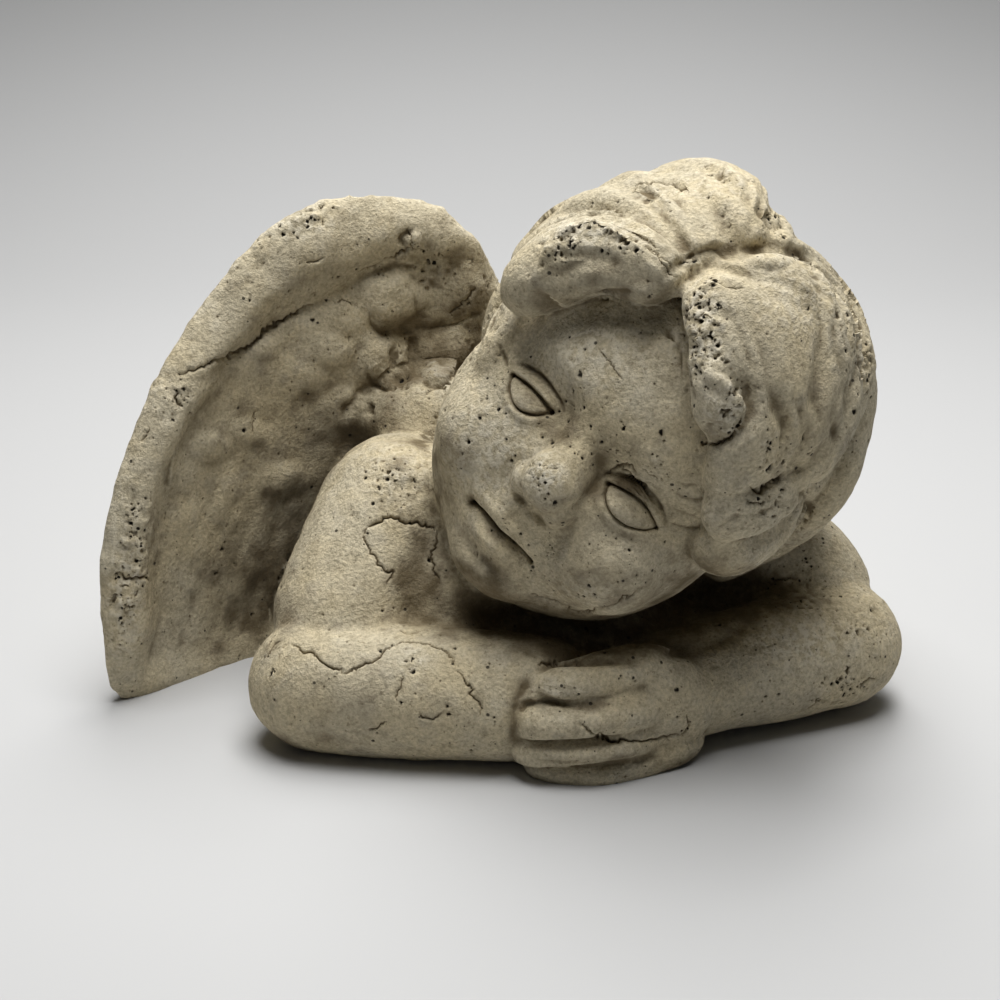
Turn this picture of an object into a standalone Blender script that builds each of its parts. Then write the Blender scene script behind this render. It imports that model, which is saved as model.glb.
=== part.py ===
"""Sleeping cherub bust, cast in concrete as one solid piece.

The winged child leans its head to its left, onto its folded forearms. The form
is laid down as simple masses and blended, then given its locks, nose and fingers,
and last its carved lines. Lengths of the free form are shares of the statue's
height: about 180 shares reach from the flat underside to the top of the hair. In
the design frame +X is the viewer's right, +Y goes away from the viewer and the
ground is z = 0. "Left" and "right" are the cherub's own.
"""
import math

import bmesh
import bpy
import numpy as np
from mathutils import Euler, Matrix, Vector

NODE_NAME = "sleeping_cherub"

# Driving size, in metres
STATUE_HEIGHT = 0.180

# Concrete, as the photograph shows it
STONE_COLOUR = (0.52, 0.47, 0.37, 1.0)
STONE_ROUGHNESS = 0.9

# How finely the form is blended and faceted
MASS_VOXEL = 2.4
MASS_SMOOTHING = 10
FORM_VOXEL = 1.5
FORM_SMOOTHING = 3
TRIANGLE_BUDGET = 9400

# Pose of the head: the centre of the skull, and degrees of lean, nod and turn
HEAD_CENTRE = (45.5, 5.0, 101.0)
HEAD_TILT = 38.4
HEAD_NOD = 16.4
HEAD_TURN = 19.0

# The skull that the hair is laid on: half widths across, up and forward
SKULL = (56.0, 66.0, 58.0)
BACK_LOCKS = 8

# Eyes, nose and mouth, in the head frame: distances across, up and forward
EYE_INNER = 11.5
EYE_OUTER = 31.5
EYE_LEVEL = -13.5
EYE_OPENING = 4.4
MOUTH_LEVEL = -47.3
MOUTH_RIGHT = -13.5
MOUTH_LEFT = 12.0
NOSE_TIP = 48.0

# Both wings stand upright on round walls: where each wall passes the back, in plan, and
# the radius it turns at; its axis lies straight in front of that place
WING_THICKNESS = 15.0
OPEN_ROOT = (23.6, 81.8)
OPEN_RADIUS = 191.0
OPEN_AXIS = (OPEN_ROOT[0], OPEN_ROOT[1] - OPEN_RADIUS)
FOLDED_ROOT = (60.0, 88.0)
FOLDED_RADIUS = 150.0
FOLDED_AXIS = (FOLDED_ROOT[0], FOLDED_ROOT[1] - FOLDED_RADIUS)

# Outlines of the wings, as degrees round the wall and height
OPEN_OUTLINE = ((3, 20), (2, 90), (7, 127), (12, 149.5), (19.5, 158.5), (26.6, 156.5), (34.3, 144.5),
                (40.2, 125), (46.6, 99.5), (51.2, 74), (53.9, 44), (54.1, 18), (52.5, -5),
                (44, -9), (30, -10), (14, -10))
OPEN_HEART = (27, 68)
FOLDED_OUTLINE = ((14, 20), (13, 90), (9, 118), (2, 130), (-6, 126), (-13, 112), (-18, 92),
                  (-21, 62), (-22, 30), (-21, -4), (-8, -10), (6, -10))
FOLDED_HEART = (-3, 60)


def head_matrix():
    """Head frame: x to the cherub's left, y up through the crown, z out of the face."""
    angles = [math.radians(a) for a in (-HEAD_NOD, HEAD_TILT, -HEAD_TURN)]
    pose = Euler(angles, "YXZ").to_matrix()
    upright = Matrix(((1, 0, 0), (0, 0, -1), (0, 1, 0)))
    return Matrix.Translation(HEAD_CENTRE) @ (pose @ upright).to_4x4()


HEAD = head_matrix()
WORLD = Matrix.Identity(4)


def smooth_path(points, steps):
    """Points read at even steps from a Catmull-Rom curve through the given points."""
    pts = np.array(points, float)
    knots = np.vstack([2 * pts[0] - pts[1], pts, 2 * pts[-1] - pts[-2]])
    spans = len(pts) - 1
    path = []
    for s in np.linspace(0.0, spans, steps):
        i = min(int(s), spans - 1)
        t = s - i
        a, b, c, d = knots[i:i + 4]
        path.append(0.5 * (2 * b + (c - a) * t + (2 * a - 5 * b + 4 * c - d) * t ** 2
                           + (3 * b - a - 3 * c + d) * t ** 3))
    return np.array(path)


def spread(values, steps):
    """The given values read at even steps along their list."""
    return np.interp(np.linspace(0, 1, steps), np.linspace(0, 1, len(values)), values)


def ball(bm, centre, semi, frame=WORLD):
    """An ellipsoid of given half widths in a frame."""
    matrix = frame @ Matrix.Translation(centre) @ Matrix.Diagonal((*semi, 1.0))
    bmesh.ops.create_uvsphere(bm, u_segments=32, v_segments=20, radius=1.0, matrix=matrix)


def round_ends(path, first, last):
    """Thickness shares along a path whose ends are rounded over the given lengths."""
    steps = np.linalg.norm(np.diff(path, axis=0), axis=1)
    run = np.concatenate([[0.0], np.cumsum(steps)])
    near = np.minimum(np.clip(run / first, 0, 1), np.clip((run[-1] - run) / last, 0, 1))
    return np.sqrt(1 - (1 - near) ** 2)


def sweep(bm, points, widths, heights, ups, rings=26, sides=14, cap=0.5):
    """A round-ended limb along a curve.

    widths and heights are half sizes across and along the ups; cap is the length
    of each round end as a share of the thickness there.
    """
    path = smooth_path(points, rings)
    wide = spread(widths, rings)
    tall = spread(heights, rings)
    up = smooth_path(ups, rings) if len(ups) > 1 else np.repeat(np.array(ups, float), rings, 0)
    rounding = round_ends(path, cap * (wide[0] + tall[0]), cap * (wide[-1] + tall[-1]))
    tangent = np.gradient(path, axis=0)
    tangent /= np.linalg.norm(tangent, axis=1)[:, None]
    loops = []
    for k in range(1, rings - 1):
        side = np.cross(tangent[k], up[k])
        side /= np.linalg.norm(side)
        top = np.cross(side, tangent[k])
        ring = []
        for angle in np.linspace(0, 2 * math.pi, sides, endpoint=False):
            offset = math.cos(angle) * wide[k] * side + math.sin(angle) * tall[k] * top
            ring.append(bm.verts.new(path[k] + rounding[k] * offset))
        loops.append(ring)
    for lower, upper in zip(loops, loops[1:]):
        for j in range(sides):
            n = (j + 1) % sides
            bm.faces.new((lower[j], lower[n], upper[n], upper[j]))
    for tip, ring, order in ((path[0], loops[0], 1), (path[-1], loops[-1], -1)):
        point = bm.verts.new(tip)
        for j in range(sides):
            bm.faces.new([ring[j], point, ring[(j + 1) % sides]][::order])


def limb(bm, points, radii):
    """A round arm or neck through world points."""
    sweep(bm, points, radii, radii, [(0.1, 0.2, 1.0)], rings=34, sides=24)


def on_skull(azimuth, elevation, lift=0.0):
    """A point of the head frame at degrees left of and above straight ahead."""
    az = math.radians(azimuth)
    el = math.radians(elevation)
    way = (math.sin(az) * math.cos(el), math.sin(el), math.cos(az) * math.cos(el))
    return np.array(way) * (np.array(SKULL) + lift)


def lock(bm, angles, lifts, widths, heights):
    """A lock of hair along degrees on the skull; lifts raise its middle line off it."""
    local = [on_skull(a, e, r) for (a, e), r in zip(angles, spread(lifts, len(angles)))]
    turn = HEAD.to_3x3()
    ups = [(turn @ Vector(p / np.array(SKULL) ** 2)).normalized() for p in local]
    sweep(bm, [HEAD @ Vector(p) for p in local], widths, heights, ups)


def on_wall(axis, radius, angle, height, out):
    """World point on a wing's wall: degrees round it, height, and offset to its axis."""
    a = math.radians(angle)
    reach = radius - out
    return (axis[0] - reach * math.sin(a), axis[1] + reach * math.cos(a), height)


def wing_plate(bm, axis, radius, outline, heart):
    """A wing as a plain cushion-edged plate bent round its wall."""
    rings = 14
    steps = 110
    fullness = 3.2
    rim = smooth_path(outline + outline[:1], steps + 1)[:-1]
    middle = np.array(heart, float)
    edge = [bm.verts.new(on_wall(axis, radius, a, z, 0.0)) for a, z in rim]
    for side in (1, -1):
        half = side * 0.5 * WING_THICKNESS
        centre = bm.verts.new(on_wall(axis, radius, *middle, half))
        rows = []
        for k in range(1, rings):
            share = k / rings
            out = half * math.sqrt(1 - share ** fullness)
            row = middle + share * (rim - middle)
            rows.append([bm.verts.new(on_wall(axis, radius, a, z, out)) for a, z in row])
        rows.append(edge)
        for j in range(steps):
            n = (j + 1) % steps
            bm.faces.new([centre, rows[0][j], rows[0][n]][::side])
            for inner, outer in zip(rows, rows[1:]):
                bm.faces.new([inner[j], outer[j], outer[n], inner[n]][::side])


def body_masses(bm):
    """Torso, neck and the two folded arms."""
    ball(bm, (20, 46, 36), (62, 40, 42))
    ball(bm, (70, 38, 26), (34, 26, 34))
    ball(bm, (62, 64, 42), (44, 24, 42))
    ball(bm, (22, 6, 14), (66, 26, 28))
    ball(bm, (-16, 16, 34), (30, 26, 27))
    limb(bm, [(4, 34, 55), (20, 18, 68), (34, 8, 84)], (30, 27, 28))
    limb(bm, [(-20, 46, 72), (-33, 30, 61), (-47, 10, 40), (-59, -12, 17)], (22, 25.5, 24.5, 22))
    limb(bm, [(-75, -4, 18), (-60, -15, 19), (-30, -21, 19), (12, -26, 19), (34, -22, 18)],
         (19, 22, 21.5, 20, 14))
    limb(bm, [(54, 56, 62), (74, 48, 52), (99, 30, 33.5), (114, 12, 19)], (22, 24, 23.5, 19))
    limb(bm, [(132, 16, 18), (112, 9, 20), (86, -3, 20), (58, -15, 19), (34, -24, 19)],
         (16, 21, 20, 18, 14))


def head_masses(bm):
    """Cranium, face, forehead, cheeks and chin, in the head frame."""
    ball(bm, (0, 10, -8), (55, 58, 57), HEAD)
    ball(bm, (-3, -18, 8), (50.5, 54.5, 39), HEAD)
    ball(bm, (0, 10, 18), (44, 30, 32), HEAD)
    for side in (-1, 1):
        ball(bm, (side * 24 - 1, -33, 25), (20, 19, 19), HEAD)
    ball(bm, (-1, -58, 24), (19, 13, 15), HEAD)


def wing_masses(bm):
    """The right wing stands open, the left one is folded behind the head."""
    wing_plate(bm, OPEN_AXIS, OPEN_RADIUS, OPEN_OUTLINE, OPEN_HEART)
    wing_plate(bm, FOLDED_AXIS, FOLDED_RADIUS, FOLDED_OUTLINE, FOLDED_HEART)


def front_hair(bm):
    """The big locks that part above the forehead and roll to both temples."""
    # the forelock over the right temple, and four more behind it up to the crown
    lock(bm, [(-12, 36), (-28, 33), (-40, 27), (-47, 18), (-48, 9), (-43, 3)],
         (3, 5, 6, 5, 4, 1), (9, 12, 14, 14, 12, 8), (8, 10, 11, 11, 10, 7))
    lock(bm, [(-14, 44), (-32, 42), (-54, 38), (-74, 27), (-77, 15), (-70, 5)],
         (3, 4, 5, 5, 4, 2), (7, 10, 12, 13, 13, 11), (7, 8, 9, 9, 8, 7))
    lock(bm, [(-14, 48), (-34, 50), (-62, 48), (-82, 38), (-100, 26)],
         (3, 5, 6, 6, 5), (7, 10, 12, 13, 12), (7, 8, 9, 9, 8))
    lock(bm, [(-12, 54), (-34, 61), (-66, 62), (-86, 53), (-100, 42)],
         (3, 6, 8, 8, 7), (8, 11, 14, 14, 12), (7, 9, 9, 9, 9))
    lock(bm, [(-6, 58), (-30, 72), (-84, 74), (-98, 64), (-106, 52)],
         (2, 2, 0, 0, 1), (8, 10, 11, 11, 11), (7, 8, 8, 8, 8))
    # the long ridge round the left side, and the broad mass inside it
    lock(bm, [(-10, 55), (0, 68), (66, 80), (92, 67), (90, 52), (86, 36), (80, 22)],
         (2, 2, -1, 1, 1, -3, -6), (8, 11, 12, 13, 13, 12, 9), (7, 8, 8, 8, 8, 7, 6))
    lock(bm, [(-10, 42), (2, 53), (26, 59), (48, 52), (60, 36), (63, 18)],
         (1, 3, 4, 4, 3, 0), (9, 13, 15, 16, 15, 12), (7, 8, 8, 8, 7, 6))
    lock(bm, [(-14, 41), (-2, 42), (14, 41), (29, 34), (38, 24), (42, 12), (42, 3)],
         (0, 3, 4, 3, 2, 0, -2), (9, 15, 18, 18, 16, 12, 8), (7, 8, 8, 8, 8, 7, 6))
    # the curl that stands over the forehead, and the locks by the left temple and ear
    lock(bm, [(4, 36), (14, 29), (21, 22), (24, 15)], (2, 3, 3, 1), (8, 9, 8, 6), (6, 7, 7, 5))
    lock(bm, [(56, 26), (56, 14), (50, 5), (44, -3)], (0, 1, 0, -1), (10, 11, 10, 7), (6, 7, 7, 6))
    lock(bm, [(94, 16), (80, 4), (66, -4), (52, -10)], (-6, -4, -2, -3), (12, 13, 11, 7), (7, 7, 7, 6))
    # the short strip before the right ear
    lock(bm, [(-74, 4), (-62, -5), (-56, -14), (-55, -24)],
         (-3, -3, -4, -5), (8, 8, 7, 5), (5, 5, 5, 4))


def back_hair(bm):
    """Plain wavy locks down the back of the head."""
    for az in np.linspace(114, 255, BACK_LOCKS):
        lock(bm, [(az - 5, 60), (az + 5, 40), (az - 4, 18), (az + 6, -4), (az, -26)],
             (1, 3, 3, 2, -3), (9, 12, 13, 12, 8), (8, 8, 8, 8, 7))


def nose_form(bm):
    """A short round nose with its wings."""
    ridge = ((0, -2, NOSE_TIP - 8), (0, -12, NOSE_TIP - 5.5), (0, -23, NOSE_TIP), (0, -33, NOSE_TIP - 1))
    forward = HEAD.to_3x3() @ Vector((0, 0, 1))
    sweep(bm, [HEAD @ Vector(p) for p in ridge], (6, 6, 8, 7), (4, 5, 8, 7), [forward])
    for side in (-1, 1):
        ball(bm, (side * 6.8, -30, NOSE_TIP - 3.5), (4.5, 5, 5), HEAD)


def hand_form(bm):
    """The left hand lies over the end of the right forearm, its fingers to the right."""
    ball(bm, (44, -27, 19), (23, 14, 18))
    fingers = (((54, -26, 33), (30, -37, 32.5), (4, -38, 28)),
               ((52, -34, 22), (28, -43, 21.5), (2, -42, 18.5)),
               ((50, -34, 12), (28, -43, 11), (2, -42, 9.5)),
               ((46, -31, 3), (28, -38.5, 2), (7, -37, 2)))
    for points in fingers:
        sweep(bm, points, (6.5, 7.2, 5.6), (6.6, 6.8, 5.6), [(0, -0.2, 1)], cap=1.0)


def nearest(coords, points, steps=24):
    """Distance from every coordinate to a smooth curve, and the share along it."""
    path = smooth_path(points, steps)
    best = np.full(len(coords), np.inf)
    along = np.zeros(len(coords))
    for k, (start, end) in enumerate(zip(path, path[1:])):
        span = end - start
        t = np.clip((coords - start) @ span / (span @ span), 0, 1)
        gap = np.linalg.norm(coords - start - t[:, None] * span, axis=1)
        closer = gap < best
        best[closer] = gap[closer]
        along[closer] = (k + t[closer]) / (steps - 1)
    return best, along


def groove(coords, points, width, tapered=True):
    """Share of a line's depth at each coordinate: 1 on the line, nothing far from it."""
    gap, along = nearest(coords, points)
    depth = np.exp(-(gap / width) ** 2)
    if tapered:
        depth *= np.clip(4 * np.minimum(along, 1 - along) + 0.25, 0, 1)
    return depth


def mound(coords, centre, radii):
    """Share of a soft round swelling's height at each coordinate."""
    offset = (coords - np.array(centre)) / np.array(radii)
    return np.exp(-np.sum(offset ** 2, axis=1))


def bow(start, end, level, rise):
    """Points of an arc from start to end across the face, bowed up from its level."""
    share = np.linspace(0, 1, 7)
    return np.stack([start + (end - start) * share, level + rise * np.sin(math.pi * share)], axis=1)


def eye_relief(flat, side):
    """Forward shift round one closed eye."""
    inner = side * EYE_INNER
    outer = side * EYE_OUTER
    middle = 0.5 * (inner + outer)
    shift = -4.2 * mound(flat, (middle, EYE_LEVEL + 2), (14, 9))
    shift -= 2.5 * mound(flat, (side * 10, EYE_LEVEL + 1), (5, 7))
    shift += 3.2 * mound(flat, (middle, EYE_LEVEL), (8.5, 5.2))
    shift += 1.6 * mound(flat, (middle, EYE_LEVEL + 15), (15, 4))
    shift -= 2.2 * groove(flat, bow(inner, outer, EYE_LEVEL, EYE_OPENING), 1.3, tapered=False)
    shift -= 1.8 * groove(flat, bow(inner, outer, EYE_LEVEL, -EYE_OPENING), 1.3, tapered=False)
    shift -= 1.1 * groove(flat, bow(inner, outer + side, EYE_LEVEL + 4.5, 3.6), 1.2)
    return shift


def mouth_relief(flat):
    """Forward shift round the small closed mouth."""
    middle = 0.5 * (MOUTH_LEFT + MOUTH_RIGHT)
    shift = -3.0 * groove(flat, bow(MOUTH_RIGHT, MOUTH_LEFT, MOUTH_LEVEL, 0.9), 1.5, tapered=False)
    shift += 2.4 * mound(flat, (middle, MOUTH_LEVEL + 4.3), (9, 3.4))
    shift += 2.2 * mound(flat, (middle, MOUTH_LEVEL - 4.2), (8, 3.4))
    shift -= 1.2 * mound(flat, (middle, MOUTH_LEVEL + 7), (1.8, 3.5))
    shift -= 1.2 * mound(flat, (middle, MOUTH_LEVEL - 10), (9, 3.6))
    for corner in (MOUTH_RIGHT - 1, MOUTH_LEFT + 1):
        shift -= 1.2 * mound(flat, (corner, MOUTH_LEVEL), (3, 3))
    return shift


def in_head(coords):
    """World coordinates read in the head frame."""
    matrix = np.array(HEAD.inverted())
    return coords @ matrix[:3, :3].T + matrix[:3, 3]


def carve_face(coords):
    """Model eyes, nostrils and mouth by moving the face along the way it looks."""
    local = in_head(coords)
    flat = local[:, :2]
    shift = mouth_relief(flat)
    for side in (-1, 1):
        shift += eye_relief(flat, side)
        shift -= 2.6 * mound(flat, (side * 3.4, -35), (2.2, 1.8))
        shift -= 1.5 * mound(flat, (side * 12, -36), (3.5, 6))
    inside = np.sum(((flat - (-1, -24)) / (46, 44)) ** 2, axis=1)
    front = np.clip((local[:, 2] - 18) / 10, 0, 1) * np.clip((1 - inside) * 4, 0, 1)
    forward = np.array(HEAD.to_3x3())[:, 2]
    coords += (shift * front)[:, None] * forward


# Lines cut between the locks: degrees on the skull, width and depth
HAIR_LINES = (
    (((-16, 40), (-27, 40), (-40, 37), (-52, 33), (-66, 27)), 2.6, 1.8),
    (((-20, 47), (-33, 48), (-48, 47), (-68, 45)), 2.6, 1.8),
    (((-14, 54), (-6, 62), (15, 70), (38, 68), (52, 57), (62, 45), (64, 32)), 3.4, 3.0),
    (((-16, 39), (-10, 44), (2, 50), (20, 54), (38, 48), (48, 36), (50, 26)), 2.6, 1.6),
    (((17, 28), (26, 26), (29, 19), (25, 12)), 2.4, 2.6),
    (((31, 30), (43, 25), (49, 17), (44, 9)), 2.8, 2.8),
    (((62, 38), (59, 28), (54, 14), (50, 2)), 3.0, 2.2),
    (((96, 30), (84, 16), (70, 6), (56, -2)), 3.0, 2.4),
)


def carve_hair(coords):
    """Cut the lines between the locks, towards the middle of the head."""
    local = in_head(coords) / np.array(SKULL)
    size = np.linalg.norm(local, axis=1)
    reach = float(np.mean(SKULL))
    sphere = reach * local / size[:, None]
    depth = np.zeros(len(coords))
    for angles, width, cut in HAIR_LINES:
        line = [reach * on_skull(a, e) / np.array(SKULL) for a, e in angles]
        depth = np.maximum(depth, cut * groove(sphere, line, width))
    depth *= (size > 0.9) * (size < 1.4)
    inward = np.array(HEAD.translation) - coords
    inward /= np.linalg.norm(inward, axis=1)[:, None]
    coords += depth[:, None] * inward


# Lines between the fingers, seen from the front: across and up
FINGER_LINES = (((10, 38.5), (26, 40), (46, 39.5)), ((6, 26), (22, 26.5), (36, 27.5)),
                ((6, 14.5), (22, 15.5), (38, 16.5)), ((8, 5), (24, 6), (38, 7)))


def carve_hand(coords):
    """Cut the lines between the fingers, straight back into the hand."""
    flat = coords[:, [0, 2]]
    front = np.clip((-24 - coords[:, 1]) / 6, 0, 1)
    for line in FINGER_LINES:
        coords[:, 1] += 2.4 * groove(flat, line, 1.8) * front


# The open wing's front: the roll along its leading edge, the line under the roll, and
# the small knobbly feathers near the head, each with its size
BAND_LINE = ((8, 141), (16, 143), (26, 138), (34, 124), (41, 106), (47, 84), (50, 56), (50.5, 26))
BAND_GROOVE = ((13, 134), (20, 132), (26, 123.5), (32, 117), (38, 108), (42, 105))
KNOBBLY_FEATHERS = ((18.6, 120, 7.5), (19.8, 98, 7), (12.6, 98, 7), (23, 85, 6.5), (27, 106, 5.5),
                    (29, 66, 6.5), (31, 92, 5.5))
OPEN_BACK_FEATHERS = 7
FOLDED_BACK_FEATHERS = 6


def unrolled(points, radius):
    """Points of a wing's wall with their degrees turned into lengths."""
    return [(math.radians(a) * radius, z) for a, z in points]


def open_front(flat):
    """Height of the open wing's front over its plain plate."""
    gap, _ = nearest(flat, unrolled(OPEN_OUTLINE + OPEN_OUTLINE[:1], OPEN_RADIUS), 80)
    panel = np.clip((gap - 9) / 14, 0, 1)
    height = -3.4 * panel * panel * (3 - 2 * panel)
    height += 3.4 * groove(flat, unrolled(BAND_LINE, OPEN_RADIUS), 9, tapered=False)
    height -= 3.6 * groove(flat, unrolled(BAND_GROOVE, OPEN_RADIUS), 3.2)
    for a, z, size in KNOBBLY_FEATHERS:
        height += 6.5 * mound(flat, (math.radians(a) * OPEN_RADIUS, z), (size, size))
    for k in range(5):
        feather = ((17 + 5 * k, 78 - 2 * k), (23 + 5.4 * k, 42 - k), (27 + 5.6 * k, 2))
        height -= 1.3 * groove(flat, unrolled(feather, OPEN_RADIUS), 3.2)
    return height


def plain_back(flat, outline, radius, feathers):
    """Height of a wing's back: upright lines between long feathers."""
    first = min(a for a, _ in outline)
    last = max(a for a, _ in outline)
    height = np.zeros(len(flat))
    for a in np.linspace(first, last, feathers + 1)[1:-1]:
        line = ((0.75 * a + 2, 100), (0.95 * a, 55), (1.02 * a, 3))
        height -= 1.6 * groove(flat, unrolled(line, radius), 2.4)
    return height


def wall_view(coords, normals, axis, radius):
    """Unrolled place on a wing's wall, how near it, the way to its axis, and the facing."""
    inward = np.array(axis) - coords[:, :2]
    reach = np.linalg.norm(inward, axis=1)
    inward /= reach[:, None]
    angle = np.arctan2(inward[:, 0], -inward[:, 1])
    flat = np.stack([angle * radius, coords[:, 2]], axis=1)
    near = np.clip((0.5 * WING_THICKNESS + 5 - np.abs(radius - reach)) / 4, 0, 1)
    facing = np.clip(2 * np.sum(inward * normals[:, :2], axis=1), -1, 1)
    return flat, near, inward, facing


def carve_wings(coords, normals):
    """Raise and cut the open wing's front and both backs."""
    flat, near, inward, facing = wall_view(coords, normals, OPEN_AXIS, OPEN_RADIUS)
    near *= flat[:, 0] > 0
    shift = open_front(flat) * near * np.maximum(facing, 0)
    back = plain_back(flat, OPEN_OUTLINE, OPEN_RADIUS, OPEN_BACK_FEATHERS)
    shift -= back * near * np.maximum(-facing, 0)
    coords[:, :2] += shift[:, None] * inward
    flat, near, inward, facing = wall_view(coords, normals, FOLDED_AXIS, FOLDED_RADIUS)
    near *= (coords[:, 0] > 26) * (coords[:, 1] > 60)
    back = plain_back(flat, FOLDED_OUTLINE, FOLDED_RADIUS, FOLDED_BACK_FEATHERS)
    coords[:, :2] -= (back * near * np.maximum(-facing, 0))[:, None] * inward


def carve(mesh):
    """Cut all the carved lines into the blended form."""
    coords = np.empty(len(mesh.vertices) * 3)
    normals = np.empty(len(mesh.vertices) * 3)
    mesh.vertices.foreach_get("co", coords)
    mesh.vertices.foreach_get("normal", normals)
    coords = coords.reshape(-1, 3)
    normals = normals.reshape(-1, 3)
    carve_face(coords)
    carve_hair(coords)
    carve_hand(coords)
    carve_wings(coords, normals)
    mesh.vertices.foreach_set("co", coords.ravel())


def applied(obj):
    """The mesh of an object with its modifiers applied; the object itself is removed."""
    graph = bpy.context.evaluated_depsgraph_get()
    mesh = bpy.data.meshes.new_from_object(obj.evaluated_get(graph))
    old = obj.data
    bpy.data.objects.remove(obj)
    bpy.data.meshes.remove(old)
    return mesh


def linked(name, mesh):
    """A new object of the scene."""
    obj = bpy.data.objects.new(name, mesh)
    bpy.context.scene.collection.objects.link(obj)
    return obj


def blended(bm, name, voxel, smoothing):
    """One closed skin round all the bodies of a bmesh, smoothed."""
    mesh = bpy.data.meshes.new(name)
    bm.to_mesh(mesh)
    bm.free()
    obj = linked(name, mesh)
    skin = obj.modifiers.new("skin", "REMESH")
    skin.mode = "VOXEL"
    skin.voxel_size = voxel
    soften = obj.modifiers.new("soften", "SMOOTH")
    soften.factor = 0.5
    soften.iterations = round(smoothing)
    return applied(obj)


def thinned(mesh, triangles):
    """The same form with fewer triangles, most of them where it curves."""
    mesh.calc_loop_triangles()
    obj = linked("fine", mesh)
    fewer = obj.modifiers.new("fewer", "DECIMATE")
    fewer.ratio = triangles / len(mesh.loop_triangles)
    fewer.use_collapse_triangulate = True
    return applied(obj)


def stand_flat(mesh):
    """Cut the statue at the ground, close its underside, centre it and give it its height."""
    bm = bmesh.new()
    bm.from_mesh(mesh)
    everything = bm.verts[:] + bm.edges[:] + bm.faces[:]
    cut = bmesh.ops.bisect_plane(bm, geom=everything, plane_co=(0, 0, 0), plane_no=(0, 0, -1),
                                 clear_outer=True)
    rim = [e for e in cut["geom_cut"] if isinstance(e, bmesh.types.BMEdge)]
    bmesh.ops.triangle_fill(bm, use_beauty=True, use_dissolve=False, edges=rim)
    bmesh.ops.recalc_face_normals(bm, faces=bm.faces[:])
    across = [v.co.x for v in bm.verts]
    away = [v.co.y for v in bm.verts]
    middle = (0.5 * (min(across) + max(across)), 0.5 * (min(away) + max(away)), 0.0)
    share = STATUE_HEIGHT / max(v.co.z for v in bm.verts)
    bmesh.ops.translate(bm, vec=-Vector(middle), verts=bm.verts[:])
    bmesh.ops.scale(bm, vec=(share, share, share), verts=bm.verts[:])
    bm.to_mesh(mesh)
    bm.free()


def concrete():
    """Pale beige-grey cast concrete."""
    material = bpy.data.materials.new("cast_concrete")
    material.use_nodes = True
    shader = material.node_tree.nodes["Principled BSDF"]
    shader.inputs["Base Color"].default_value = STONE_COLOUR
    shader.inputs["Roughness"].default_value = STONE_ROUGHNESS
    return material


def main():
    """Build the statue and stand it on the ground."""
    for obj in list(bpy.data.objects):
        bpy.data.objects.remove(obj)
    masses = bmesh.new()
    body_masses(masses)
    head_masses(masses)
    wing_masses(masses)
    base = blended(masses, "masses", MASS_VOXEL, MASS_SMOOTHING)
    forms = bmesh.new()
    forms.from_mesh(base)
    bpy.data.meshes.remove(base)
    front_hair(forms)
    back_hair(forms)
    nose_form(forms)
    hand_form(forms)
    mesh = blended(forms, "forms", FORM_VOXEL, FORM_SMOOTHING)
    carve(mesh)
    mesh = thinned(mesh, TRIANGLE_BUDGET)
    stand_flat(mesh)
    mesh.name = NODE_NAME
    mesh.shade_smooth()
    mesh.materials.clear()
    mesh.materials.append(concrete())
    linked(NODE_NAME, mesh)


if __name__ == "__main__":
    main()
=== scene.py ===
"""Looks of the sleeping cherub: one weathered concrete casting on a pale table.

The form is modelled in the design frame, in shares of the statue's height: about 180
shares reach from the flat underside to the top of the hair, +X is the viewer's right,
+Y goes away from the viewer and the table is z = 0. The finished casting is then brought
into the CAD box, in metres. "Left" and "right" are the cherub's own.
"""
import logging
import math
from collections.abc import Iterator
from contextlib import contextmanager
from dataclasses import dataclass, field
from enum import Enum

import bpy
import numpy as np
from mathutils import Euler, Matrix, Vector
from mathutils.bvhtree import BVHTree
from mathutils.kdtree import KDTree


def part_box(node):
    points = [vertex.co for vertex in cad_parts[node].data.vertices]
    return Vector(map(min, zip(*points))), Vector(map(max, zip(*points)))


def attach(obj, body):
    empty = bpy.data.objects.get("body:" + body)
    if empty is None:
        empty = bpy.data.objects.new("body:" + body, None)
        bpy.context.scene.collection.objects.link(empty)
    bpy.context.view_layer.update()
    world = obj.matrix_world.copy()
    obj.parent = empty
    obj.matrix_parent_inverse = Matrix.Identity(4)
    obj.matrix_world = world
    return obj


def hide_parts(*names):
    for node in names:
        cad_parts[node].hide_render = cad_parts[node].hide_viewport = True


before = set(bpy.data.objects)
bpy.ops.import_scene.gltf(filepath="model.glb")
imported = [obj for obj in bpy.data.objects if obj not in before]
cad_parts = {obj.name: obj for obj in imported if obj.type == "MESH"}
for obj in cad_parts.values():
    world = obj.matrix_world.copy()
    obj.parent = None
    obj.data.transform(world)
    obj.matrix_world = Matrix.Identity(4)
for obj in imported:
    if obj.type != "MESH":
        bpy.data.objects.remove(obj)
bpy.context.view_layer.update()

NODE = "sleeping_cherub"

# From the design frame to metres in the row frame
SHARE = 0.00100385
DESIGN_MIDDLE = (0.92, 18.91, 0.0)

Point = tuple[float, ...]
Line = tuple[Point, ...]
Array = np.ndarray
Body = bpy.types.Object
Socket = bpy.types.NodeSocket
WORLD = Matrix.Identity(4)

# Length of the table of chance values, and the numbers that mix a cell's place into it
CHANCE_TABLE = 8192
MIXERS = (73856093, 19349663, 83492791)

# How far a crack sways beside its short jumps, and how many of its pieces sway together
SWAY = 1.6
SWAY_RUN = 4

# Share of the way to its neighbours' middle that a point moves in one smoothing round
SMOOTHING = 0.5

log = logging.getLogger("cherub")


class Detail(Enum):
    """Voxel size of the finest skin: coarse while trying things, fine for the real casting."""

    TRIAL = 1.3
    FULL = 0.8


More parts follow.
